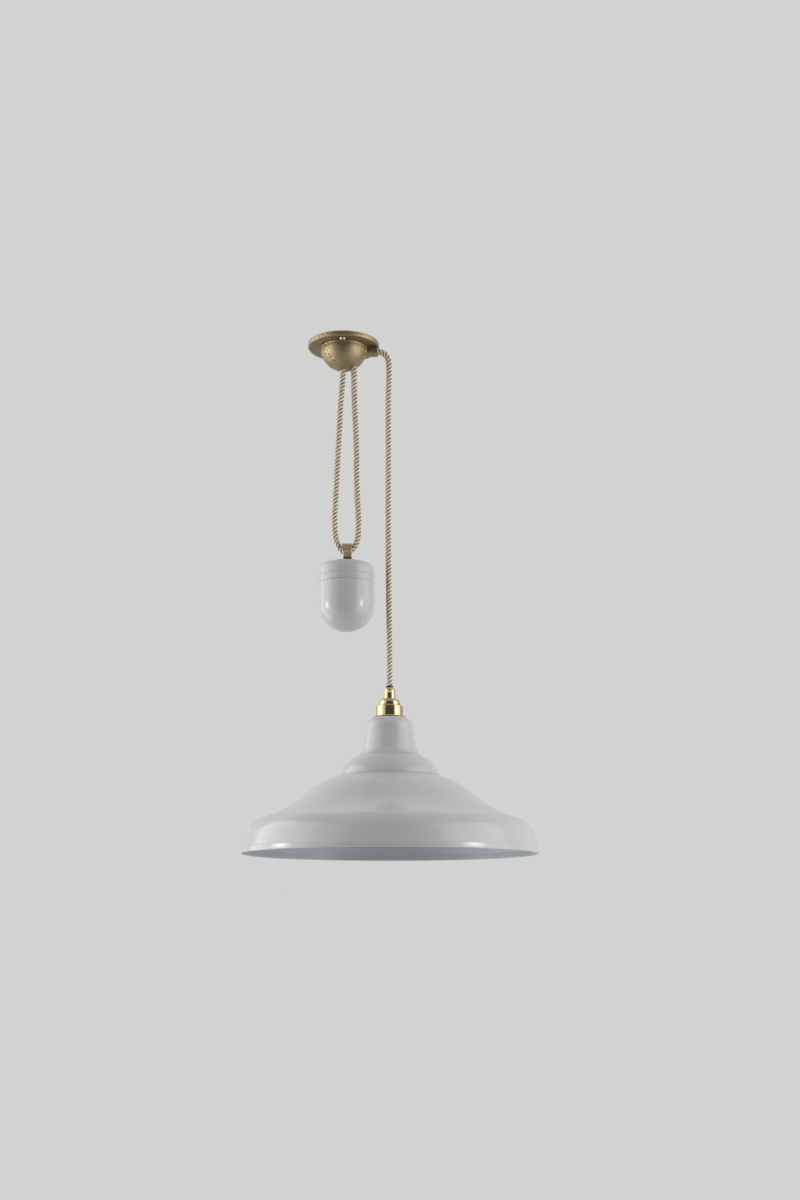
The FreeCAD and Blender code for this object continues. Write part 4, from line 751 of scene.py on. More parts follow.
def spun(name, profile, x, finish, steps=96, second=None, split=None, closed=True):
    """Mesh of a profile in millimetres turned round the upright axis at x."""
    points = [(r * MM, 0.0, z * MM) for r, z in profile]
    if closed and points[0] != points[-1] and points[0][0] + points[-1][0] > 0:
        points.append(points[0])
    inputs = {"Steps": steps, "Material": finish, "Second material": second or finish,
              "Split": split if split is not None else len(points) + 1}
    mesh = through_nodes(name, line_mesh(points), TREES["spun"], inputs)
    mesh.transform(Matrix.Translation((x * MM, 0, 0)))
    return outward(mesh)


def cut_by(mesh, cutters):
    """A mesh with each of the cutter meshes taken away."""
    name, body = mesh.name, linked("body", mesh)
    tools = [linked("cutter", cutter) for cutter in cutters]
    for tool in tools:
        modifier = body.modifiers.new("Cut", "BOOLEAN")
        modifier.operation, modifier.object, modifier.solver = "DIFFERENCE", tool, "EXACT"
    result = baked(body)
    result.name = name
    for tool in tools:
        bpy.data.batch_remove([tool, tool.data])
    return result


def block(x0, x1, y0, y1, z0, z1, rounding=0.0):
    """Box in millimetres with rounded edges."""
    mesh = bpy.data.meshes.new("block")
    bm = bmesh.new()
    bmesh.ops.create_cube(bm, size=1.0)
    size = Vector((x1 - x0, y1 - y0, z1 - z0)) * MM
    middle = Vector((x0 + x1, y0 + y1, z0 + z1)) * (MM / 2)
    for vert in bm.verts:
        vert.co = Vector(c * s for c, s in zip(vert.co, size)) + middle
    if rounding:
        bmesh.ops.bevel(bm, geom=bm.edges, offset=rounding * MM, segments=3, affect="EDGES",
                        profile=0.5)
    bm.to_mesh(mesh)
    bm.free()
    return mesh


def place_piece(name, mesh, body, slot, *nodes, finish=None):
    """Puts a finished mesh in the scene, on its body, in place of the nodes it stands for."""
    if finish is not None:
        mesh.materials.clear()
        mesh.materials.append(finish)
    piece = linked(name, mesh)
    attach(piece, body)
    if nodes:
        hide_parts(*nodes)
    return piece


def turned_piece(name, profile, finish, slot, node, steps=96):
    """Places a piece of the lamp that is a profile turned round the lamp's axis."""
    mesh = marked(spun(name, profile, LAMP_X, FINISHES[finish], steps), 1)
    place_piece(name, mesh, "lamp", slot, node)


def route_points(name, route):
    """Points of the smooth line that a route's control points give."""
    curve = bpy.data.curves.new(name, "CURVE")
    curve.dimensions = "3D"
    curve.resolution_u = 24
    spline = curve.splines.new("NURBS")
    spline.points.add(len(route) - 1)
    for point, (x, z) in zip(spline.points, route):
        point.co = (x, 0.0, z, 1.0)
    spline.order_u = 3
    spline.use_endpoint_u = True
    mesh = baked(linked(name, curve))
    points = [v.co.copy() for v in mesh.vertices]
    bpy.data.meshes.remove(mesh)
    return points


def node_copy(node):
    """A copy of a solid's mesh, with its loose triangles joined."""
    mesh = frame["nodes"][node].data.copy()
    bm = bmesh.new()
    bm.from_mesh(mesh)
    bmesh.ops.remove_doubles(bm, verts=bm.verts, dist=WELD)
    bm.to_mesh(mesh)
    bm.free()
    return mesh


def capped(mesh):
    """Closes a tube's open ends."""
    bm = bmesh.new()
    bm.from_mesh(mesh)
    rims = [e for e in bm.edges if e.is_boundary]
    bmesh.ops.holes_fill(bm, edges=rims, sides=0)
    bm.to_mesh(mesh)
    bm.free()
    return outward(mesh)


# ================================================================ operators
class PENDANT_OT_finishes(bpy.types.Operator):
    """Makes the paints, metals, plastics and cloth, and the node trees for repeated shapes"""
    bl_idname = "pendant.finishes"
    bl_label = "Finishes"

    def execute(self, context):
        scene = context.scene
        brass, coat, flex = scene.pendant_brass, scene.pendant_paint, scene.pendant_flex
        plain = (0.70, 0.56, 0.30)
        FINISHES.update({
            "cast_brass": cast_metal("cast_brass", brass.cast, brass.patina),
            # The stirrup's stripes are painted light: a painted highlight across its legs, and painted
            # shade at their feet by the lid and along its top.
            "aged_brass": rolled_metal("aged_brass", (0.72, 0.57, 0.33), 0.46, (1, 1, 0.06), 0.8,
                                       ((-252.4, 1.8, 1.25), (-261.8, 3.6, 0.16),
                                        (-242.6, 1.8, 0.55))),
            "polished_brass": turned_metal("polished_brass", brass.polished),
            # Below its foot the skirt's flange is painted dark, as painted shade where it sits on the
            # shade.
            "skirt_brass": turned_metal("skirt_brass", brass.polished, foot=-451.2),
            "screw_brass": turned_metal("screw_brass", (0.62, 0.53, 0.34), 0.26),
            "copper_screw": turned_metal("copper_screw", (0.80, 0.54, 0.28), 0.34),
            "plain_brass": rolled_metal("plain_brass", plain, 0.30, (1, 0.1, 1), 0.8),
            "steel": rolled_metal("steel", (0.58, 0.58, 0.59), 0.34, (1, 0.08, 1), 0.75),
            "black_plastic": moulding("black_plastic", (0.018, 0.017, 0.016), 0.42),
            "grommet_rubber": moulding("grommet_rubber", (0.03, 0.03, 0.03), 0.7),
            "block_plastic": moulding("block_plastic", (0.74, 0.73, 0.69), 0.4),
            "insert_plastic": moulding("insert_plastic", (0.80, 0.78, 0.72), 0.28, 700),
            "weight_paint": paint("weight_paint", coat.outside, WEIGHT_X, 0.15),
            "ballast_iron": moulding("ballast_iron", (0.10, 0.10, 0.10), 0.75, 500, 0.0002),
            "shade_paint": paint("shade_paint", coat.outside, LAMP_X, 0.15, 0.22),
            "shade_inside": paint("shade_inside", coat.inside, LAMP_X, 0.33, 0.3),
            "flex_braid": braid_cloth("flex_braid", flex),
            "core_brown": striped_core("core_brown", (0.20, 0.08, 0.03)),
            "core_blue": striped_core("core_blue", (0.05, 0.16, 0.50)),
            "core_green_yellow": striped_core("core_green_yellow", (0.10, 0.38, 0.05),
                                              (0.72, 0.66, 0.05)),
        })
        TREES.update({"spun": spun_tree(), "braid": braid_tree(), "screws": screw_tree(),
                      "knurl": ridge_tree(), "casting": casting_tree()})
        return {"FINISHED"}


class PENDANT_OT_camera(bpy.types.Operator):
    """Stands the camera where the picture was taken from"""
    bl_idname = "pendant.camera"
    bl_label = "Camera"

    def execute(self, context):
        stage = context.scene.pendant_stage
        lens = bpy.data.cameras.new("camera")
        lens.sensor_fit = "VERTICAL"
        lens.sensor_height = 36.0
        lens.lens = stage.lens
        lens.shift_y = stage.shift
        camera = linked("camera", lens)
        camera.location = stage.place
        camera.rotation_euler = (math.pi / 2, 0, 0)
        context.scene.camera = camera
        return {"FINISHED"}


class PENDANT_OT_flex(bpy.types.Operator):
    """Lays the two lengths of braided flex along their routes"""
    bl_idname = "pendant.flex"
    bl_label = "Flex"

    def execute(self, context):
        flex = context.scene.pendant_flex
        inputs = {"Radius": flex.diameter / 2, "Relief": flex.relief, "Strands": flex.strands,
                  "Pitch": flex.pitch, "Sides": FLEX_SIDES, "Spacing": FLEX_SPACING,
                  "Material": FINISHES["flex_braid"]}
        # name, route, solid, body at its lower end, and a top and a low height on the fall
        falls = (
            ("flex_loop_braid", LOOP_ROUTE, "flex_loop", "weight", -0.028, -0.236),
            ("flex_lamp_braid", LAMP_ROUTE, "flex_lamp_fall", "lamp", -0.036, -0.405),
        )
        for name, route, node, body, top, low in falls:
            path = route_points(name, route)
            mesh = capped(through_nodes(name, line_mesh(path), TREES["braid"], inputs))
            piece = linked(name, mesh)
            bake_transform(piece)
            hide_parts(node)
        return {"FINISHED"}


def stage_world(stage):
    """Room light: pale behind and above, dim towards the camera, plain grey to the camera's eye."""
    world = bpy.data.worlds.new("room")
    world.use_nodes = True
    room = Tree(world.node_tree)
    for node in list(world.node_tree.nodes):
        world.node_tree.nodes.remove(node)
    ray = room.split(room.add("ShaderNodeTexCoord").outputs["Generated"])
    dim = room.add("ShaderNodeMapRange", {0: ray[1], 1: -0.80, 2: -0.45, 3: 0.07, 4: 0.40},
                   interpolation_type="SMOOTHSTEP").outputs[0]
    back = room.between(ray[1], 0.0, 0.6, 0.0, 0.20)
    up = room.between(ray[2], 0.15, 0.6, 0.0, 0.12)
    glow = room.math("ADD", room.math("ADD", dim, back), up)
    lit = room.add("ShaderNodeBackground", {"Color": (0.985, 0.99, 1.0, 1.0), "Strength": glow})
    seen = room.add("ShaderNodeBackground", {"Color": colour(stage.backdrop), "Strength": 1.0})
    eye = room.add("ShaderNodeLightPath").outputs["Is Camera Ray"]
    both = room.add("ShaderNodeMixShader", {0: eye, 1: lit.outputs[0], 2: seen.outputs[0]})
    room.add("ShaderNodeOutputWorld", {0: both.outputs[0]})
    return world


def softbox(name, azimuth, distance, width, height, middle_z, power, outline="RECTANGLE"):
    """Soft light that faces the pendant. Azimuth 0 is the camera's side, 90 is +X."""
    light = bpy.data.lights.new(name, "AREA")
    light.shape = outline
    light.size, light.size_y = width, height
    light.energy = power
    lamp = linked(name, light)
    angle = math.radians(azimuth)
    lamp.location = (math.sin(angle) * distance + LIGHTS_X, -math.cos(angle) * distance, middle_z)
    aim = Vector((LIGHTS_X, 0.0, middle_z)) - lamp.location
    lamp.rotation_euler = aim.to_track_quat("-Z", "Y").to_euler()


class PENDANT_OT_stage(bpy.types.Operator):
    """Sets a pale floor, a plain room, and softboxes and small round lights on both sides"""
    bl_idname = "pendant.stage"
    bl_label = "Stage"

    def execute(self, context):
        stage = context.scene.pendant_stage
        context.scene.world = stage_world(stage)
        context.scene.view_settings.view_transform = "Standard"
        softbox("left_softbox", -80.0, 1.7, 3.2, 3.2, LIGHTS_Z, stage.left * 0.58)
        softbox("left_inner_softbox", -95.0, 1.7, 2.2, 3.2, LIGHTS_Z, stage.left * 0.42)
        softbox("right_softbox", 72.0, 1.8, 2.0, 3.2, LIGHTS_Z, stage.right)
        for side, azimuth, glow in (("left", -85.0, 0.8), ("right", 64.0, 0.9)):
            for ring, share, strength in (("_halo", 1.0, 0.40), ("_glow", 0.7, 0.65),
                                          ("_core", 0.4, 0.9)):
                wide, tall = 0.58 * share, 0.80 * share
                softbox(side + ring, azimuth, 1.55 - 0.06 * strength, wide, tall, SPARKS_Z,
                        stage.spark * glow * strength * math.pi * wide * tall / 4, "ELLIPSE")
        mesh = bpy.data.meshes.new("floor")
        bm = bmesh.new()
        bmesh.ops.create_circle(bm, cap_ends=True, segments=96, radius=3.0)
        bmesh.ops.translate(bm, verts=bm.verts, vec=(0, 0, stage.floor))
        bm.to_mesh(mesh)
        bm.free()
        pale = Finish("floor", Roughness=0.8)
        tone = pale.mix(pale.noise(30, 4), colour(stage.backdrop, 1.08), colour(stage.backdrop, 1.12))
        pale.set(Base_Color=tone)
        reach = pale.vector("LENGTH", pale.vector("MULTIPLY", pale.place, (1, 1, 0)))
        clear = pale.add("ShaderNodeBsdfTransparent").outputs[0]
        fade = pale.add("ShaderNodeMixShader", {0: pale.between(reach, 1.4, 2.9),
                                                1: pale.shader.outputs[0], 2: clear})
        pale.feed(pale.tree.nodes["Material Output"].inputs[0], fade.outputs[0])
        mesh.materials.append(pale.material)
        linked("floor", mesh)
        return {"FINISHED"}


def casting(node, voxel, finish, drop):
    """The node's shape as a sand casting: corners softened and the skin rough.

    drop gives heights, and how far the outer skin is moved at each, to thicken the plate's lip.
    """
    holder = linked(node + "_holder", node_copy(node))
    remesh = holder.modifiers.new("Voxels", "REMESH")
    remesh.mode = "VOXEL"
    remesh.voxel_size = voxel
    blank = baked(holder)
    for vert in blank.vertices:
        out = min(1.0, max(0.0, (math.hypot(vert.co.x, vert.co.y) / MM - RIM_R) / RIM_FADE))
        vert.co.z += float(np.interp(vert.co.z / MM, *drop)) * MM * out
    inputs = {"Softening": 6, "Grain": 0.00009, "Pit depth": 0.0004, "Material": finish}
    return outward(through_nodes(node + "_casting", blank, TREES["casting"], inputs))


class PENDANT_OT_castings(bpy.types.Operator):
    """Casts the ceiling plate and the pulley cup in rough brass"""
    bl_idname = "pendant.castings"
    bl_label = "Cast plate and cup"

    def execute(self, context):
        voxel = context.scene.pendant_brass.voxel
        lip = ((-4.0, 0.0), (-1.6, 0.0))
        bead = ((-9.0, -5.2, -4.0), (0.0, -1.6, -1.6))
        for name, node, coarser, drop in (("plate_casting", "ceiling_plate", 1.25, lip),
                                          ("cup_casting", "pulley_cup", 1.03, bead)):
            blank = casting(node, voxel * coarser, FINISHES["cast_brass"], drop)
            mesh = marked(blank, 3, 180.0)
            # The plate's underside faces down and is painted darker as painted shade: its value is
            # lowered so that the dark tint of the hollows reaches it.
            if node == "ceiling_plate":
                wear = mesh.attributes["wear"].data
                for vert in mesh.vertices:
                    if vert.normal.z < UNDERSIDE_Z:
                        wear[vert.index].value -= UNDERSIDE_SHADE
            place_piece(name, mesh, "ceiling", "cast_brass", node)
        return {"FINISHED"}


def screw_pattern():
    """Slotted round head of radius 1 and height 1, with its top at +Z and a short shank below."""
    profile = rounded([(0, 1.0), (0.45, 0.97), (0.80, 0.72, 0.5), (1.0, 0.12, 0.06), (0.97, 0.0, 0.03),
                       (0.5, 0.0), (0.5, -0.4), (0, -0.4)])
    mesh = spun("screw_head", [(r / MM, z / MM) for r, z in profile], 0, FINISHES["screw_brass"], 48)
    slot = block(-0.13 / MM, 0.13 / MM, -1.2 / MM, 1.2 / MM, 0.45 / MM, 1.4 / MM)
    return marked(cut_by(mesh, [slot]), 1)


class PENDANT_OT_screws(bpy.types.Operator):
    """Sets the slotted screws of the plate, the bracket and the anchor"""
    bl_idname = "pendant.screws"
    bl_label = "Screws"

    def execute(self, context):
        down, front = (0.0, 0.0, -1.0), (0.0, -1.0, 0.0)
        # piece, slot, finish, and for each screw its solid, top, direction, radius and height
        rows = (
            ("plate_screws", "aged_brass", "screw_brass", (
                ("plate_screw_front", (0, -32.5, -5.6), down, 3.7, 2.2),
                ("plate_screw_back", (0, 32.5, -5.6), down, 3.7, 2.2))),
            ("hidden_screws", "steel", "steel", (
                ("bracket_screw_1", (18.4, -8.6, -5.2), down, 2.3, 1.6),
                ("bracket_screw_2", (18.4, 8.6, -5.2), down, 2.3, 1.6),
                ("anchor_screw_1", (-7.5, 2.1, -20), front, 1.8, 1.2),
                ("anchor_screw_2", (6.1, 2.1, -20), front, 1.8, 1.2),
                ("anchor_foot_screw", (9.1, 6.5, -5.5), down, 2.0, 1.2),
                ("terminal_block_screw", (-16, 9.75, -6), down, 2.0, 1.2))),
        )
        pattern = linked("screw_pattern", screw_pattern())
        for name, slot, finish, screws in rows:
            points = bpy.data.meshes.new(name)
            points.from_pydata([[c * MM for c in at] for _, at, _, _, _ in screws], [], [])
            aim = points.attributes.new("aim", "FLOAT_VECTOR", "POINT")
            size = points.attributes.new("size", "FLOAT_VECTOR", "POINT")
            for index, (_, _, way, radius, height) in enumerate(screws):
                aim.data[index].vector = way
                size.data[index].vector = (radius * MM, radius * MM, height * MM)
            mesh = through_nodes(name, points, TREES["screws"],
                                 {"Pattern": pattern, "Material": FINISHES[finish]})
            mesh.set_sharp_from_angle(angle=math.radians(SMOOTH_BEND))
            place_piece(name, mesh, "ceiling", slot, *[row[0] for row in screws])
        bpy.data.batch_remove([pattern, pattern.data])
        return {"FINISHED"}


class PENDANT_OT_weight(bpy.types.Operator):
    """Spins the counterweight's lid and shell, with the scored line and the seam"""
    bl_idname = "pendant.weight"
    bl_label = "Counterweight"

    def execute(self, context):
        coat = FINISHES["weight_paint"]
        top = arc((0, -264.0), (13.0, -264.55), (26.0, -266.2), 8)
        corner = arc((26.0, -266.2), (32.3, -269.8), (34.0, -276.0), 14)
        wall = rounded([(34.0, -276.0), (34.0, -281.0, 0.3), (33.35, -281.5, 0.12), (34.0, -282.0, 0.3),
                        (34.0, -289.4, 0.35), (33.2, -290.0), (31.0, -290.0), (31.0, -296.0),
                        (29.0, -296.0), (29.0, -274.6), (23.0, -268.6), (0, -268.6)], 4)
        profile = [(0, -264.0)] + top + corner + wall[1:]
        lid = spun("weight_lid_paint", profile, WEIGHT_X, coat, 128)
        slots = [block(WEIGHT_X - 6.0, WEIGHT_X + 6.6, y - 0.75, y + 0.75, -269.6, -262.0, 0.1)
                 for y in (-6.9, 6.9)]
        lid = marked(cut_by(lid, slots), 1, 30.0)
        place_piece("weight_lid_paint", lid, "weight", "weight_paint", "weight_lid", finish=coat)
        low = arc((34.0, -314.0), (34 * MIDWAY, -314 - 34 * MIDWAY), (0, -348.0), 32)
        seam = rounded([(31.0, -290.0), (33.2, -290.0), (34.0, -290.6, 0.35), (34.0, -314.0)], 4)
        inside = arc((0, -344.4), (30.4 * MIDWAY, -314 - 30.4 * MIDWAY),
                     (30.4, -314.0), 20)
        profile = seam + low + [(0, -344.4)] + inside + [(30.4, -296.0), (31.0, -296.0)]
        shell = spun("weight_shell_paint", profile, WEIGHT_X, coat, 128)
        place_piece("weight_shell_paint", marked(shell), "weight", "weight_paint", "weight_shell",
                    finish=coat)
        return {"FINISHED"}


def strip(name, path, sides, thickness, rounding):
    """Bent strip: a rounded flat section carried along (Y, Z) points between two X values."""
    path = np.array(path, float)
    along = np.gradient(path, axis=0)
    along /= np.linalg.norm(along, axis=1)[:, None]
    across = np.stack([along[:, 1], -along[:, 0]], axis=1)
    bm = bmesh.new()
    rings = []
    for point, side, (low, high) in zip(path, across, sides):
        x, half_w, half_t = (low + high) / 2, (high - low) / 2, thickness / 2
        section = []
        for sx, st in ((1, 1), (-1, 1), (-1, -1), (1, -1)):
            start = math.atan2(st, sx) - math.pi / 4
            for step in range(4):
                angle = start + step * math.pi / 6
                section.append((sx * (half_w - rounding) + rounding * math.cos(angle),
                                st * (half_t - rounding) + rounding * math.sin(angle)))
        rings.append([bm.verts.new(((x + w) * MM, (point[0] + side[0] * t) * MM,
                                    (point[1] + side[1] * t) * MM)) for w, t in section])
    size = len(rings[0])
    for first, second in zip(rings, rings[1:]):
        for i in range(size):
            j = (i + 1) % size
            bm.faces.new((first[i], first[j], second[j], second[i]))
    bm.faces.new(rings[0])
    bm.faces.new(rings[-1][::-1])
    mesh = bpy.data.meshes.new(name)
    bmesh.ops.recalc_face_normals(bm, faces=bm.faces)
    for face in bm.faces:
        face.smooth = True
    bm.to_mesh(mesh)
    bm.free()
    return outward(mesh)


def lying(mesh, x, z):
    """Turns a mesh from the upright axis onto an axis along Y through (x, z) millimetres."""
    mesh.transform(Matrix.Translation((x * MM, 0, z * MM)) @ Matrix.Rotation(math.pi / 2, 4, "X"))
    return mesh


class PENDANT_OT_stirrup(bpy.types.Operator):
    """Bends the brass stirrup, and turns its pin and its grooved roller"""
    bl_idname = "pendant.stirrup"
    bl_label = "Stirrup"

    def execute(self, context):
        half, top, end = 6.9, -243.0, -273.5   # half the width, and the legs' heights
        bow, corner = 0.35, 2.6                # the legs' outward curve, and the bend's radius
        leg = [(half + bow * math.sin(math.pi * t / 12), end + (top - corner - end) * t / 12)
               for t in range(12)]
        bend = [(half - corner, top - corner)]
        round_ = [(bend[0][0] + corner * math.cos(a * math.pi / 16),
                   bend[0][1] + corner * math.sin(a * math.pi / 16)) for a in range(9)]
        right = leg + round_
        path = right + [(0.0, top)] + [(-y, z) for y, z in right[::-1]]
        sides = []
        for _, z in path:
            share = min(1.0, max(0.0, (z + 254.0) / 4.0))
            sides.append((WEIGHT_X - 3.8 - 1.9 * share * share * (3 - 2 * share),
                          WEIGHT_X + 6.1 + 0.5 * share))
        mesh = strip("stirrup_strip", path, sides, 1.2, 0.35)
        place_piece("stirrup_strip", marked(mesh, 1, 50.0), "weight", "aged_brass", "stirrup",
                    finish=FINISHES["aged_brass"])
        pin = rounded([(0, -8.15), (0.95, -7.95, 0.3), (1.35, -7.45, 0.1), (1.0, -7.4), (1.0, 7.4),
                       (1.35, 7.45, 0.1), (0.95, 7.95, 0.3), (0, 8.15)])
        pin = lying(spun("roller_rivet", pin, 0, FINISHES["aged_brass"], 32), WEIGHT_X, ROLLER_Z)
        place_piece("roller_rivet", marked(pin, 1), "weight", "aged_brass", "roller_pin")
        waist = [(2.0 + 0.5 * (z / 3.55) ** 2, z) for z in np.linspace(3.55, -3.55, 17)]
        wheel = [(1.05, 4.4), (2.2, 4.4), (2.45, 4.2), (2.5, 3.9)] + waist
        wheel += [(2.5, -3.9), (2.45, -4.2), (2.2, -4.4), (1.05, -4.4)]
        wheel = lying(spun("roller_wheel", wheel, 0, FINISHES["plain_brass"], 48), WEIGHT_X, ROLLER_Z)
        place_piece("roller_wheel", marked(wheel, 1), "stirrup_roller", "plain_brass",
                    "stirrup_roller")
        return {"FINISHED"}


class PENDANT_OT_shade(bpy.types.Operator):
    """Spins the painted shade, with its hemmed edge and its bluer inside"""
    bl_idname = "pendant.shade"
    bl_label = "Shade"

    def execute(self, context):
        coat = context.scene.pendant_paint
        foot, edge = 37.0, 180.1

        def wide(share, z):
            return (foot + share * (edge - foot), z)

        outer = [(14.5, -452.3), (17.5, -452.3), (20.5, -452.3)]
        outer += arc((20.5, -452.3), (26.2, -456.6), (28.5, -464.6), 10)
        outer += [(29.3, -469.4), (30.1, -474.3), (30.85, -479.2), (31.6, -484.0)]
        outer += arc((31.6, -484.0), (33.4, -491.0), (37.0, -498.2), 6)
        outer += arc((37.0, -498.2), wide(0.1006, -506.4), wide(0.1691, -523.1), 14)
        outer += arc(wide(0.1691, -523.1), wide(0.3333, -533.0), wide(0.478, -547.9), 14)
        outer += arc(wide(0.478, -547.9), wide(0.6394, -564.5), wide(0.8232, -575.2), 14)
        outer += arc(wide(0.8232, -575.2), wide(0.9092, -582.2), wide(0.9609, -594.2), 14)
        outer += [(176.0, -599.4), (177.6, -605.0), (179.0, -609.6)]
        inner = thick(outer, 1.2)
        hem = rounded([(179.0, -609.6), (179.3, -610.6, 0.3), (180.0, -611.2, 0.5), (180.1, -614.4),
                       (180.1, -617.5, 0.8), (178.0, -617.5, 0.7), (177.9, -611.0)], 4)
        profile = outer + hem[1:] + inner
        split = len(outer) + len(hem) - 3
        mesh = spun("shade_spinning", profile, LAMP_X, FINISHES["shade_paint"], coat.steps,
                    FINISHES["shade_inside"], split)
        place_piece("shade_spinning", marked(mesh, 1, 40.0), "lamp", "shade_paint", "shade")
        return {"FINISHED"}


class PENDANT_OT_lampholder(bpy.types.Operator):
    """Turns the polished lampholder: nozzle, grip, cap, skirt and the nozzle's screw"""
    bl_idname = "pendant.lampholder"
    bl_label = "Lampholder"

    def execute(self, context):
        metal = "polished_brass"
        nozzle = [(4.45, -416.0)] + rounded([(4.45, -415.95), (5.0, -415.9, 0.2), (5.6, -416.7),
                                             (6.35, -418.2), (6.85, -420.2), (7.0, -422.2, 2.0),
                                             (7.0, -428.3, 0.3), (7.45, -428.6, 0.2),
                                             (7.45, -429.35, 0.15), (5.4, -429.35), (4.45, -425.2)])
        turned_piece("nozzle", nozzle, metal, metal, "cord_grip_nozzle", 72)
        grip = rounded([(3.62, -413.8, 0.3), (3.95, -413.4, 0.25), (4.4, -413.9, 0.3), (4.4, -424.8),
                        (3.62, -424.8), (3.62, -414.0)])
        turned_piece("grip", grip, "black_plastic", "black_plastic", "grip_bush", 48)
        dome = arc((8.84, -429.4), (11.81, -431.4), (12.8, -436.6), 10)
        cap = rounded([(3.7, -425.3), (5.35, -425.3), (5.35, -429.4), (8.4, -429.4), (8.84, -429.4)])
        cap += dome + rounded([(12.8, -436.6), (13.3, -436.6), (13.6, -436.85, 0.2),
                               (13.6, -437.4, 0.2), (13.3, -437.68, 0.1), (12.0, -437.7),
                               (12.0, -439.2), (11.1, -439.2), (11.1, -436.6)])[1:]
        cap += arc((11.9, -436.6), (10.91, -432.3), (8.39, -430.3), 8) + [(3.7, -430.3)]
        turned_piece("cap", cap, metal, metal, "lampholder_cap")
        skirt = rounded([(12.1, -437.7), (14.4, -437.7, 0.4), (16.4, -438.2, 1.2), (16.4, -449.2)])
        skirt += arc((16.4, -449.2), (16.9, -450.9), (18.6, -451.5), 8)
        skirt += rounded([(18.6, -451.5), (20.1, -451.6, 0.15), (20.1, -452.2, 0.15), (19.9, -452.3),
                          (14.3, -452.3), (14.3, -439.3), (12.1, -439.3)])[1:]
        turned_piece("skirt", skirt, "skirt_brass", metal, "lampholder_skirt")
        screw = rounded([(0, -7.75), (0.9, -7.6, 0.6), (1.7, -7.0, 0.3), (1.75, -6.2), (1.45, -6.0),
                         (1.45, -4.5), (0, -4.5)])
        mesh = spun("nozzle_screw", [(r, -z) for r, z in screw], 0, FINISHES["copper_screw"], 32)
        slot = block(-0.25, 0.25, -2, 2, 7.0, 8.0)
        mesh = marked(lying(cut_by(mesh, [slot]), LAMP_X, -421.0), 1)
        place_piece("nozzle_screw", mesh, "lamp", metal, "grub_screw",
                    finish=FINISHES["copper_screw"])
        return {"FINISHED"}


class PENDANT_OT_socket(bpy.types.Operator):
    """Builds the threaded barrel with its bayonet slots and the knurled shade ring"""
    bl_idname = "pendant.socket"
    bl_label = "Socket and ring"

    def execute(self, context):
        brass = FINISHES["polished_brass"]
        barrel = [(12.6, -440.0), (13.9, -440.0)]
        z = THREAD_TOP
        while z > THREAD_END:
            barrel += [(13.75, z), (14.22, z - 0.35), (14.22, z - 0.5), (13.75, z - 0.85)]
            z -= THREAD_PITCH
        barrel += [(13.8, -483.6), (13.5, -484.0), (11.4, -484.0), (11.2, -483.7), (11.2, -466.5),
                   (12.6, -466.5)]
        mesh = spun("barrel", barrel, LAMP_X, brass, 96)
        cutters = []
        for side in (-1, 1):
            reach = sorted((0, side * 16))
            foot = sorted((LAMP_X - side * 1.4, LAMP_X + side * 4.6))
            cutters.append(block(LAMP_X - 1.4, LAMP_X + 1.4, *reach, -485.0, -472.4))
            cutters.append(block(*foot, *sorted((10 * side, 16 * side)), -475.2, -472.4))
        mesh = marked(cut_by(mesh, cutters), 0, 25.0)
        place_piece("barrel", mesh, "lamp", "polished_brass", "lampholder_barrel", finish=brass)
        ring = rounded([(14.3, -453.5), (18.9, -453.5, 0.3), (18.9, -458.0, 0.5), (14.3, -458.0)])
        turned_piece("ring", ring, "polished_brass", "polished_brass", "shade_ring")
        knurl = through_nodes("knurl", line_mesh([(0, 0, 0), (0, 0, 0.001)]), TREES["knurl"],
                              {"Radius": 18.75 * MM, "Count": 60, "Width": 0.55 * MM,
                               "Depth": 0.7 * MM, "Height": 3.9 * MM, "Material": brass})
        knurl.transform(Matrix.Translation((LAMP_X * MM, 0, -455.75 * MM)))
        piece = place_piece("ring_knurl", knurl, "lamp", "polished_brass")
        piece.data.set_sharp_from_angle(angle=math.radians(30.0))
        return {"FINISHED"}


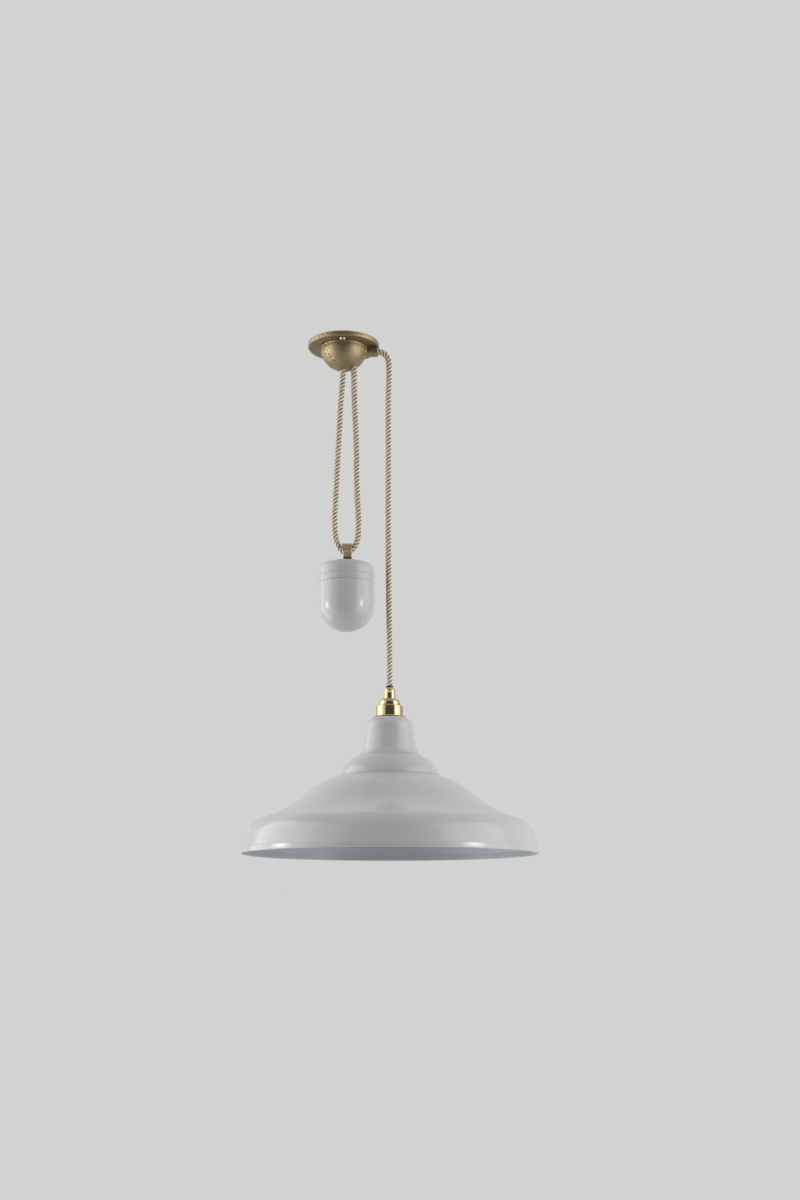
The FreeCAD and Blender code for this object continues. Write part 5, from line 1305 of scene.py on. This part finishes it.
class PENDANT_OT_springs(bpy.types.Operator):
    """Puts in the steel springs behind the contacts, copied from their solids"""
    bl_idname = "pendant.springs"
    bl_label = "Contact springs"

    def execute(self, context):
        for number in (1, 2):
            node = "plunger_spring_%d" % number
            mesh = node_copy(node)
            mesh.materials.clear()
            mesh.materials.append(FINISHES["steel"])
            coil = linked("contact_spring_%d" % number, mesh)
            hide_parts(node)
            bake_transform(coil)
        return {"FINISHED"}


class PENDANT_OT_hidden(bpy.types.Operator):
    """Gives each remaining solid piece the finish of its material"""
    bl_idname = "pendant.hidden"
    bl_label = "Inner pieces"

    def execute(self, context):
        for part in frame["record"]["subparts"]:
            node = frame["nodes"][part["node"]]
            for slot in node.material_slots:
                slot.material = FINISHES[part["material_slot"]]
        return {"FINISHED"}


# ================================================================ panel and registration
STEPS = (
    PENDANT_OT_finishes, PENDANT_OT_camera, PENDANT_OT_flex, PENDANT_OT_castings,
    PENDANT_OT_screws, PENDANT_OT_weight, PENDANT_OT_stirrup, PENDANT_OT_shade,
    PENDANT_OT_lampholder, PENDANT_OT_socket, PENDANT_OT_springs, PENDANT_OT_hidden,
    PENDANT_OT_stage,
)
SETTINGS = {"pendant_flex": FlexSettings, "pendant_paint": PaintSettings,
            "pendant_brass": BrassSettings, "pendant_stage": StageSettings}


class PENDANT_PT_panel(bpy.types.Panel):
    """Buttons for each piece, and the sizes and colours they use"""
    bl_idname = "PENDANT_PT_panel"
    bl_label = "Rise and fall pendant"
    bl_space_type = "VIEW_3D"
    bl_region_type = "UI"
    bl_category = "Pendant"

    def draw(self, context):
        layout = self.layout
        for step in STEPS:
            layout.operator(step.bl_idname)
        for name, group in SETTINGS.items():
            box = layout.box()
            for field in group.__annotations__:
                box.prop(getattr(context.scene, name), field)


CLASSES = tuple(SETTINGS.values()) + STEPS + (PENDANT_PT_panel,)


def register():
    for cls in CLASSES:
        bpy.utils.register_class(cls)
    for name, group in SETTINGS.items():
        setattr(bpy.types.Scene, name, bpy.props.PointerProperty(type=group))


def unregister():
    for name in SETTINGS:
        delattr(bpy.types.Scene, name)
    for cls in reversed(CLASSES):
        bpy.utils.unregister_class(cls)


def main():
    register()
    for step in STEPS:
        group, name = step.bl_idname.split(".")
        getattr(getattr(bpy.ops, group), name)()


if __name__ == "__main__":
    main()
